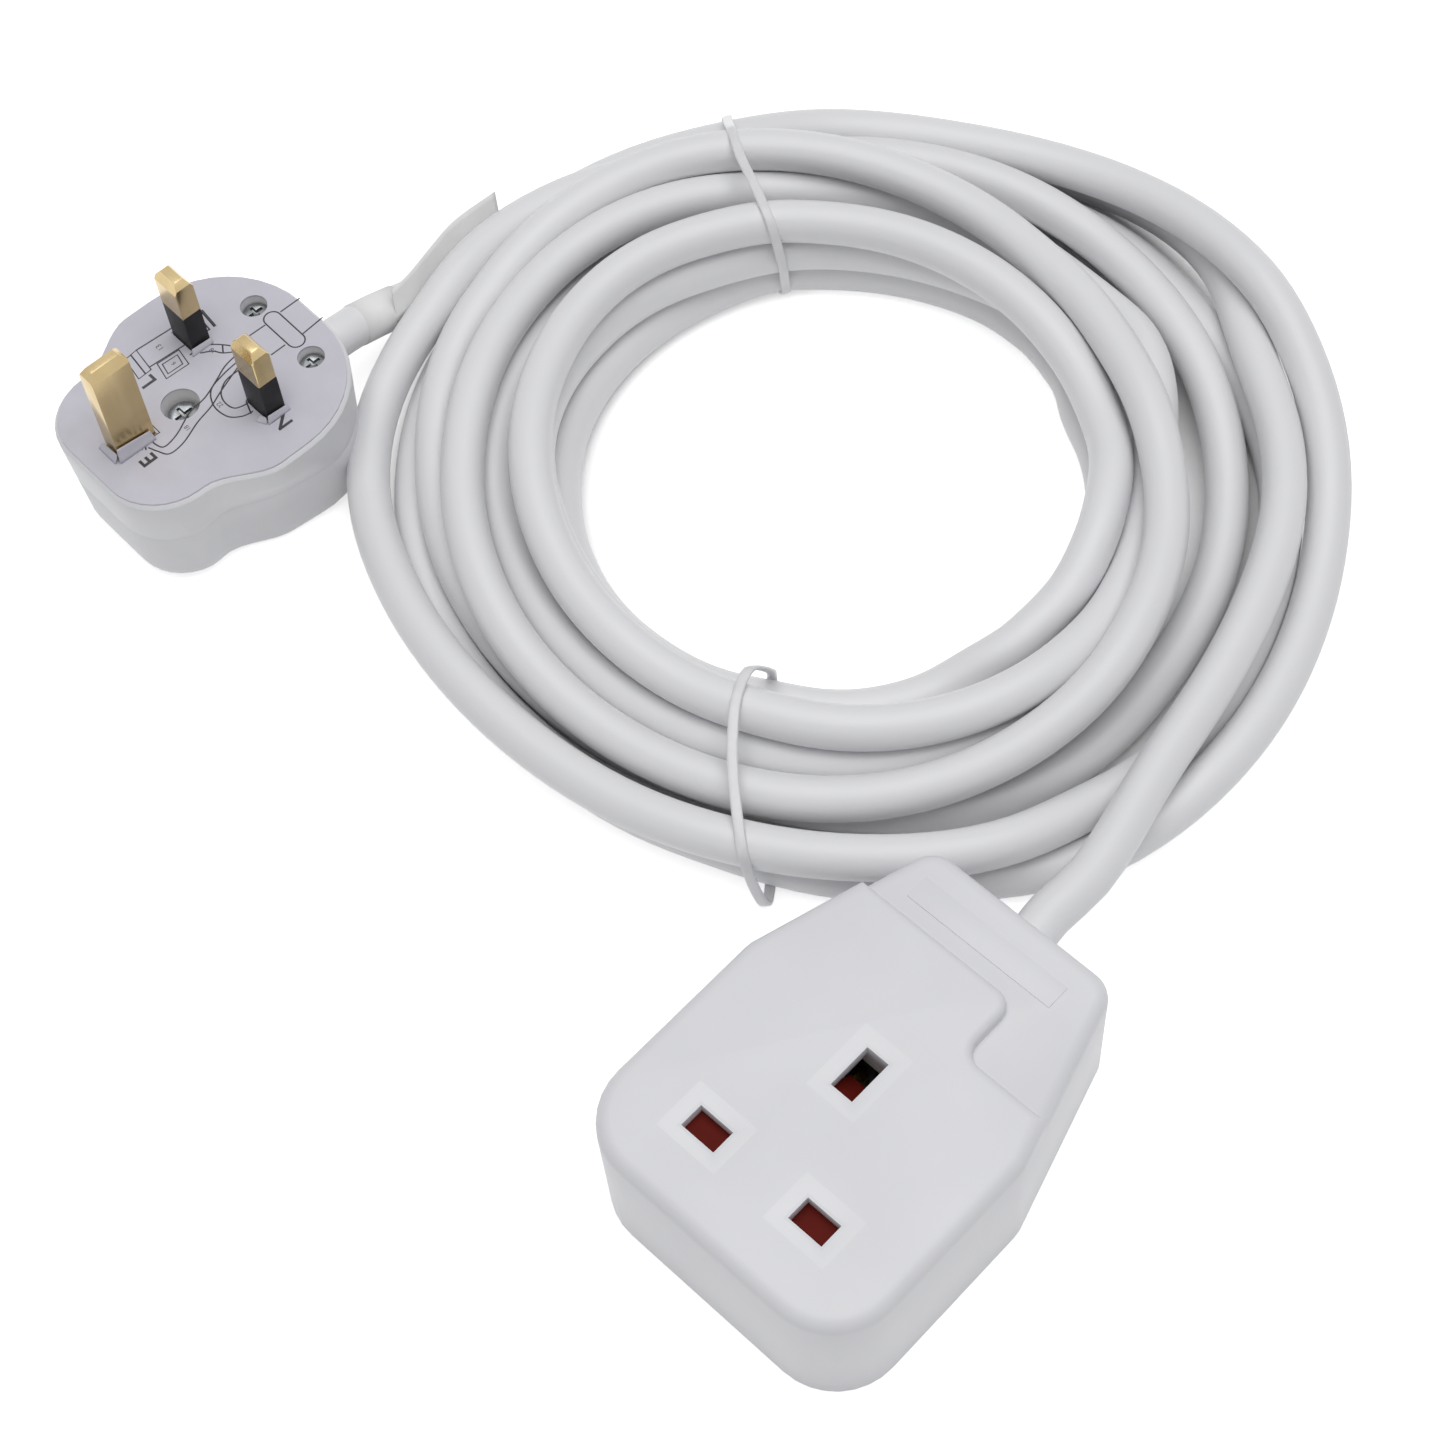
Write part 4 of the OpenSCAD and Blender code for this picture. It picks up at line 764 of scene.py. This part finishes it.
def stadium(a, b, radius):
    """The outline round a straight stretch."""
    lean = math.atan2(b[1] - a[1], b[0] - a[0])
    turn = [k * math.pi / HALF_TURN_STEPS for k in range(HALF_TURN_STEPS + 1)]
    return ([(b[0] + radius * math.sin(t + lean), b[1] - radius * math.cos(t + lean)) for t in turn]
            + [(a[0] - radius * math.sin(t + lean), a[1] + radius * math.cos(t + lean)) for t in turn])


print("card top:", round(CARD_TOP / MM, 2), "mm")

# %% [markdown]
# ## What is printed
# Each line is a row of places, and says whether it closes on itself. The marks are single letters for the
# three terminals and a few plain numbers.

# %% The card's lines and marks
FINE_LINES = [
    (stadium((-3.6, 35.3), (3.5, 35.2), 1.65), True),  # cord grip
    ([(-3.8, 37.3), (-3.8, 41.9)], False), ([(3.2, 37.0), (2.8, 42.0)], False),
    ([(-3.4, 33.4), (-3.5, 29.6)], False), ([(2.9, 33.1), (2.9, 29.8)], False),
    ([(-15.5, 10.2), (-15.8, 13.0), (-10.2, 12.2), (-10.1, 9.3)], True),  # fuse and its ends
    ([(-15.7, 11.6), (-10.2, 10.9)], False),
    ([(-15.8, 13.0), (-14.9, 25.8)], False), ([(-10.9, 12.2), (-10.0, 25.4)], False),
    ([(-14.2, 26.0), (-9.8, 25.5)], False),
    ([(-10.5, 13.8), (-6.5, 12.9), (-6.3, 17.9), (-10.2, 18.6)], True),  # fuse holder
    ([(-9.7, 14.4), (-7.2, 13.8), (-7.1, 17.1), (-9.5, 17.7)], True),
    (eased([(-7.8, 19.3), (-7.9, 21.7), (-6.8, 23.7), (-5.0, 25.3), (-3.6, 26.2)]), False),  # live wire
    (eased([(-6.8, 20.9), (-5.5, 22.8), (-3.9, 23.8), (-2.6, 25.4)]), False),
    ([(-5.4, 25.0), (-3.8, 23.9)], False),
    (eased([(-1.7, 25.3), (-1.1, 22.2), (0.3, 19.2), (2.0, 15.2), (2.7, 11.2), (4.9, 6.7), (5.6, 3.4),
            (4.2, 2.5), (2.3, 2.5)]), False),  # earth wire
    (eased([(0.8, 23.7), (2.7, 18.7), (4.4, 14.8), (5.5, 10.8), (7.3, 6.3), (7.5, 3.0), (5.5, 1.8),
            (3.6, 1.1)]), False),
    (eased([(-0.3, 24.2), (0.2, 20.7), (1.4, 17.1), (4.7, 15.2), (8.3, 15.5), (10.2, 17.4), (10.7, 19.5)]),
     False),  # neutral wire
    (eased([(1.4, 23.5), (1.6, 20.4), (3.2, 18.0), (5.5, 17.1), (7.8, 17.6), (8.6, 19.8)]), False),
    ([(8.0, 20.0), (10.9, 18.9)], False),
    ([(-0.7, 4.7), (2.4, 4.6), (2.2, 1.7), (0.5, 2.7)], True),  # earth terminal
    ([(1.2, 0.5), (2.8, -0.4)], False), ([(1.6, 1.1), (3.3, 0.0)], False),
    ([(1.7, 1.6), (3.8, 0.5)], False),
    ([(2.8, -0.4), (3.0, -2.2)], False)]
BROAD_LINES = [([(-14.7, 27.2), (-9.8, 26.7)], False)]
MARKS = [  # what it says, its middle on the plug, how tall
    ("E", 5.9, -0.4, 3.0), ("L", -8.4, 10.2, 3.0), ("N", 16.2, 21.9, 3.0), ("18", -5.6, 22.9, 0.9),
    ("22", 5.2, 16.2, 0.9), ("18", 5.2, 8.8, 0.9), ("6", -8.4, 16.0, 0.9), ("13", -13.2, 16.5, 1.1)]
print("lines:", len(FINE_LINES) + len(BROAD_LINES), "marks:", len(MARKS))

# %% [markdown]
# ## Printing the card
# Ink has almost no thickness, so each line is a thin curve turned into a mesh and pressed flat on the card.
# The letters stand upright for a reader who holds the plug with its earth pin up and its cord down.

# %% Ink helpers
FINE_INK, BROAD_INK = 0.29, 0.6  # how wide, in mm
LETTER_THICK, BOLDER_BY, BOLD_ABOVE = 0.02, 0.1, 2  # in mm
CAPITAL_SHARE = 0.7  # a capital's height as a share of the text's size
INK_OVER_CARD, PRESSED = 0.004, 0.06  # in mm, and a share of the height


def ink_lines(lines, width):
    """Flat printed lines: (points, closed) rows in plug mm."""
    data = bpy.data.curves.new("ink", "CURVE")
    data.dimensions, data.bevel_depth, data.bevel_resolution = "3D", width / 2 * MM, 0
    for points, closed in lines:
        line = data.splines.new("POLY")
        line.points.add(len(points) - 1)
        for point, (x, y) in zip(line.points, points):
            point.co = (*on_plug(x, y, CARD_TOP), 1)
        line.use_cyclic_u = closed
    data.use_fill_caps = True
    piece = bpy.data.objects.new("ink", data)
    bpy.context.scene.collection.objects.link(piece)
    only(piece)
    bpy.ops.object.convert(target="MESH")
    return bpy.context.object


def print_mark(word, x, y, tall):
    """A printed letter or number, its middle at a place on the plug."""
    bpy.ops.object.select_all(action="DESELECT")
    bpy.ops.object.text_add(location=on_plug(x, y, CARD_TOP), rotation=(0, 0, math.pi + PLUG_TURN))
    mark = bpy.context.object
    mark.data.body, mark.data.size, mark.data.extrude = word, tall / CAPITAL_SHARE * MM, LETTER_THICK * MM
    mark.data.align_x, mark.data.align_y = "CENTER", "CENTER"
    mark.data.offset = BOLDER_BY * MM if tall > BOLD_ABOVE else 0
    bpy.ops.object.convert(target="MESH")
    bpy.ops.object.transform_apply(location=True, rotation=True, scale=True)
    return bpy.context.object


print("helpers: ink_lines, print_mark")

# %% Print the card
printed = [ink_lines(FINE_LINES, FINE_INK), ink_lines(BROAD_LINES, BROAD_INK)]
printed += [print_mark(*mark) for mark in MARKS]
bpy.ops.object.select_all(action="DESELECT")
for piece in printed:
    piece.select_set(True)
bpy.context.view_layer.objects.active = printed[0]
bpy.ops.object.join()
card_print = bpy.context.object
card_print.name = card_print.data.name = "card_print"
for dot in card_print.data.vertices:
    dot.co.z = CARD_TOP + INK_OVER_CARD * MM + PRESSED * (dot.co.z - CARD_TOP)
card_print.data.materials.clear()
card_print.data.materials.append(finishes["print_ink"])
turn_outwards(card_print)
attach(card_print, "card")
print("print faces:", len(card_print.data.polygons))

# %% [markdown]
# ## Torn flaps of the card
# The card's openings are cut short, so pushing it over the pins tears small flaps that stand up against
# them. Each flap is a small grid: its foot is on the card and its tip leans on the pin, with a soft curl
# between them, and a Solidify modifier gives it the card's thickness.

# %% Places of the flaps
CARD_Z = CARD_TOP / MM
FLAPS = [  # foot, tip, curl
    ([(3.1, -4.6, CARD_Z), (3.2, 3.3, CARD_Z)], [(2.35, -4.1, 28.4), (2.35, 3.0, 27.4)],
     (-0.15, 0, 0.1)),
    ([(-2.6, -5.3, CARD_Z), (2.4, -5.3, CARD_Z)], [(-2.2, -4.35, 26.6), (2.2, -4.35, 27.0)],
     (0, 0.1, 0.15)),
    ([(15.2, 19.6, CARD_Z), (15.2, 24.6, CARD_Z)], [(14.65, 20.2, 26.9), (14.65, 24.4, 26.5)],
     (-0.05, 0, 0.15)),
    ([(13.0, 18.4, CARD_Z), (14.9, 19.4, CARD_Z)], [(12.6, 19.85, 25.9), (14.3, 19.85, 26.4)],
     (0, 0.05, 0.15)),
    ([(-7.0, 19.4, CARD_Z), (-7.0, 24.2, CARD_Z)], [(-7.6, 19.9, 26.6), (-7.6, 24.2, 26.3)],
     (0.05, 0, 0.12))]
print("flaps:", len(FLAPS))


# %% Thin sheet helper
def thin_sheet(name, foot, tip, columns, rows, thick, bow, place):
    """A sheet between places along its foot and along its tip, in mm. bow says how far each point of it
    leaves the straight line between them, and place puts it into the object's frame."""
    foot, tip = np.array(foot, float), np.array(tip, float)
    bpy.ops.object.select_all(action="DESELECT")
    bpy.ops.mesh.primitive_grid_add(x_subdivisions=columns, y_subdivisions=rows, size=1)
    piece = bpy.context.object
    piece.name = piece.data.name = name
    steps = np.linspace(0, 1, len(foot))
    for dot in piece.data.vertices:
        u, v = dot.co.x + 0.5, dot.co.y + 0.5
        low = np.array([np.interp(u, steps, foot[:, k]) for k in range(3)])
        high = np.array([np.interp(u, steps, tip[:, k]) for k in range(3)])
        dot.co = place(*(low + (high - low) * v + bow(u, v)))
    sheet = piece.modifiers.new("thick", "SOLIDIFY")
    sheet.thickness, sheet.offset = thick * MM, 0
    bpy.ops.object.modifier_apply(modifier=sheet.name)
    turn_outwards(piece)
    piece.data.shade_smooth()
    return piece


print("helper: thin_sheet")

# %% Torn flaps
FLAP_COLUMNS, FLAP_ROWS, FLAP_THICK = 8, 5, 0.2


def card_flap(name, foot, tip, curl):
    return thin_sheet(name, foot, tip, FLAP_COLUMNS, FLAP_ROWS, FLAP_THICK,
                      lambda u, v: np.array(curl) * math.sin(math.pi * v),
                      lambda x, y, z: on_plug(x, y, z * MM))


flaps = [card_flap("card_flap_" + str(k + 1), *flap) for k, flap in enumerate(FLAPS)]
for flap in flaps:
    flap.data.materials.append(finishes["card_board"])
    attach(flap, "card")
print("faces of the flaps:", [len(flap.data.polygons) for flap in flaps])

# %% [markdown]
# ## The paper flag
# A narrow paper label is wrapped once round the flex near the plug, and its ends are stuck together as a
# flag that stands out beside the cord. The wrap follows the flex as a slightly wider tube. The flag is
# the same kind of thin sheet as a flap, between two smooth edges, with a slight wave that grows towards
# its top.

# %% Paper flag
FLAG_FOOT = [(-173.7, 60.0, 11.6), (-174.4, 65.6, 11.0), (-175.3, 71.6, 10.6), (-176.6, 80.0, 10.2),
             (-177.2, 90.5, 9.6)]
FLAG_TOP = [(-176.5, 61.8, 17.0), (-176.8, 67.2, 17.4), (-177.5, 73.6, 17.8), (-179.0, 81.8, 17.8),
            (-179.6, 91.9, 16.8)]
FLAG_COLUMNS, FLAG_ROWS, FLAG_THICK = 24, 6, 0.14
WAVE_TALL, HALF_WAVES, WAVE_START = 0.35, 2.2, 0.6
WRAP_FROM, WRAP_TO, WRAP_THICK, WRAP_SIDES = 0.0525, 0.0665, 0.00016, 28  # places and thickness in m
NEAR_PLUG = 60  # the last points of the route


def flag_wave(u, v):
    return np.array([WAVE_TALL * math.sin(HALF_WAVES * math.pi * u + WAVE_START) * v, 0, 0])


flag = thin_sheet("paper_flag", eased(FLAG_FOOT), eased(FLAG_TOP), FLAG_COLUMNS, FLAG_ROWS, FLAG_THICK,
                  flag_wave, lambda x, y, z: (x * MM, y * MM, z * MM))
wrapped = [point for point in route[-NEAR_PLUG:] if WRAP_FROM < point[1] < WRAP_TO]
flag_wrap = tube("flag_wrap", wrapped, FLEX_D / 2 + WRAP_THICK, WRAP_SIDES)
for piece in (flag, flag_wrap):
    piece.data.materials.append(finishes["flag_paper"])
    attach(piece, "cord_set")
print("flag faces:", len(flag.data.polygons), "wrap points:", len(wrapped))

# %% [markdown]
# ## The ground
# The cord lies on a plain white ground that keeps its soft shadows. More light would bleach the object, so
# the ground glows a little instead, but only for rays that look at it: from the camera, from a mirror such
# as a pin, or through something clear. Under the turns the glow is left out, which paints shade on the
# ground there, so that the gaps between the turns look as dark as shaded gaps. Two circles mark that ring,
# each with a soft edge.


# %% Helpers for light and glow
def calculate(tree, operation, first, second):
    """A Math node on two values, each a number or another node's output."""
    node = add_node(tree, "ShaderNodeMath", operation=operation)
    for socket, value in zip(node.inputs, (first, second)):
        if isinstance(value, (int, float)):
            socket.default_value = value
        else:
            tree.links.new(value, socket)
    return node.outputs["Value"]


def looked_at(tree):
    """1 for rays from the camera, also mirrored or through something, and 0 for all others."""
    path = add_node(tree, "ShaderNodeLightPath").outputs
    mirrored = calculate(tree, "MAXIMUM", path["Is Glossy Ray"], path["Is Transmission Ray"])
    return calculate(tree, "MAXIMUM", path["Is Camera Ray"], mirrored)


def share_by_distance(tree, middle, near, far, first, last):
    where = add_node(tree, "ShaderNodeTexCoord")
    centred = add_node(tree, "ShaderNodeMapping")
    centred.inputs["Location"].default_value = (-middle[0] * MM, -middle[1] * MM, 0)
    reach = add_node(tree, "ShaderNodeVectorMath", operation="LENGTH")
    ease = add_node(tree, "ShaderNodeMapRange")
    ease.inputs["From Min"].default_value, ease.inputs["From Max"].default_value = near * MM, far * MM
    ease.inputs["To Min"].default_value, ease.inputs["To Max"].default_value = first, last
    tree.links.new(where.outputs["Object"], centred.inputs["Vector"])
    tree.links.new(centred.outputs["Vector"], reach.inputs[0])
    tree.links.new(reach.outputs["Value"], ease.inputs["Value"])
    return ease.outputs["Result"]


print("helpers: calculate, looked_at, share_by_distance")

# %% Ground
GROUND_WIDE, GROUND_AT, GROUND_COLOUR = 3, (-0.08, 0.06, 0), (0.92, 0.92, 0.92, 1)
GROUND_GLOW = 0.60
# Inside this ring the ground's glow is left out: painted shade in the gaps between the turns.
CLEAR_OF_COIL = (  # middle, then from this distance to that one the glow goes from a share to a share
    (COIL_AT, 47, 53, 1, 0), ((-94.0, 95.5), 81, 84.5, 0, 1))


def ground_white():
    material = bpy.data.materials.new("ground_white")
    material.use_nodes = True
    tree = material.node_tree
    clear = calculate(tree, "MAXIMUM", *(share_by_distance(tree, *circle) for circle in CLEAR_OF_COIL))
    paint = add_node(tree, "ShaderNodeBsdfDiffuse", Color=GROUND_COLOUR)
    glow = add_node(tree, "ShaderNodeEmission", Color=(1, 1, 1, 1))
    masked = calculate(tree, "MULTIPLY", looked_at(tree), clear)
    tree.links.new(calculate(tree, "MULTIPLY", masked, GROUND_GLOW), glow.inputs["Strength"])
    both = add_node(tree, "ShaderNodeAddShader")
    tree.links.new(paint.outputs["BSDF"], both.inputs[0])
    tree.links.new(glow.outputs["Emission"], both.inputs[1])
    tree.links.new(both.outputs["Shader"], tree.nodes["Material Output"].inputs["Surface"])
    return material


bpy.ops.mesh.primitive_plane_add(size=GROUND_WIDE, location=GROUND_AT)
bpy.ops.object.transform_apply(location=True)
ground = bpy.context.object
ground.name = "ground"
ground.data.materials.append(ground_white())
print("ground:", [round(side, 2) for side in ground.dimensions[:2]], "m")

# %% [markdown]
# ## The lamps and the room
# The light is a broad lamp overhead, like a tent, and a weak fill from the front, so that every white face
# stays a pale grey and no shadow is hard. The room adds soft light from all sides, and it looks plain white
# where the camera or a mirror sees it.

# %% Lamps and room
LAMPS = {  # place, what it aims at, size in metres, watts
    "tent": ((-0.05, 0.15, 1.2), (-0.09, 0.08, 0), 1.3, 9.15),
    "fill": ((0.3, -0.9, 0.5), (-0.05, 0.05, 0), 0.8, 0.4)}
ROOM_COLOUR, ROOM_LIGHT = (0.97, 0.98, 1.0, 1), 0.36


def lamp(name, at, aim, size, watts):
    data = bpy.data.lights.new(name, "AREA")
    data.shape, data.size, data.energy = "DISK", size, watts
    light = bpy.data.objects.new(name, data)
    bpy.context.scene.collection.objects.link(light)
    light.location = at
    light.rotation_euler = (Vector(aim) - Vector(at)).to_track_quat("-Z", "Y").to_euler()


def studio_world():
    world = bpy.data.worlds.new("studio")
    world.use_nodes = True
    tree = world.node_tree
    room = tree.nodes["Background"]
    room.inputs["Color"].default_value, room.inputs["Strength"].default_value = ROOM_COLOUR, ROOM_LIGHT
    white = add_node(tree, "ShaderNodeBackground", Color=(1, 1, 1, 1), Strength=1.0)
    both = add_node(tree, "ShaderNodeMixShader")
    tree.links.new(looked_at(tree), both.inputs[0])
    tree.links.new(room.outputs["Background"], both.inputs[1])
    tree.links.new(white.outputs["Background"], both.inputs[2])
    tree.links.new(both.outputs["Shader"], tree.nodes["World Output"].inputs["Surface"])
    return world


for name, facts in LAMPS.items():
    lamp(name, *facts)
bpy.context.scene.world = studio_world()
bpy.context.scene.view_settings.view_transform = "Standard"
print("lamps:", list(LAMPS))
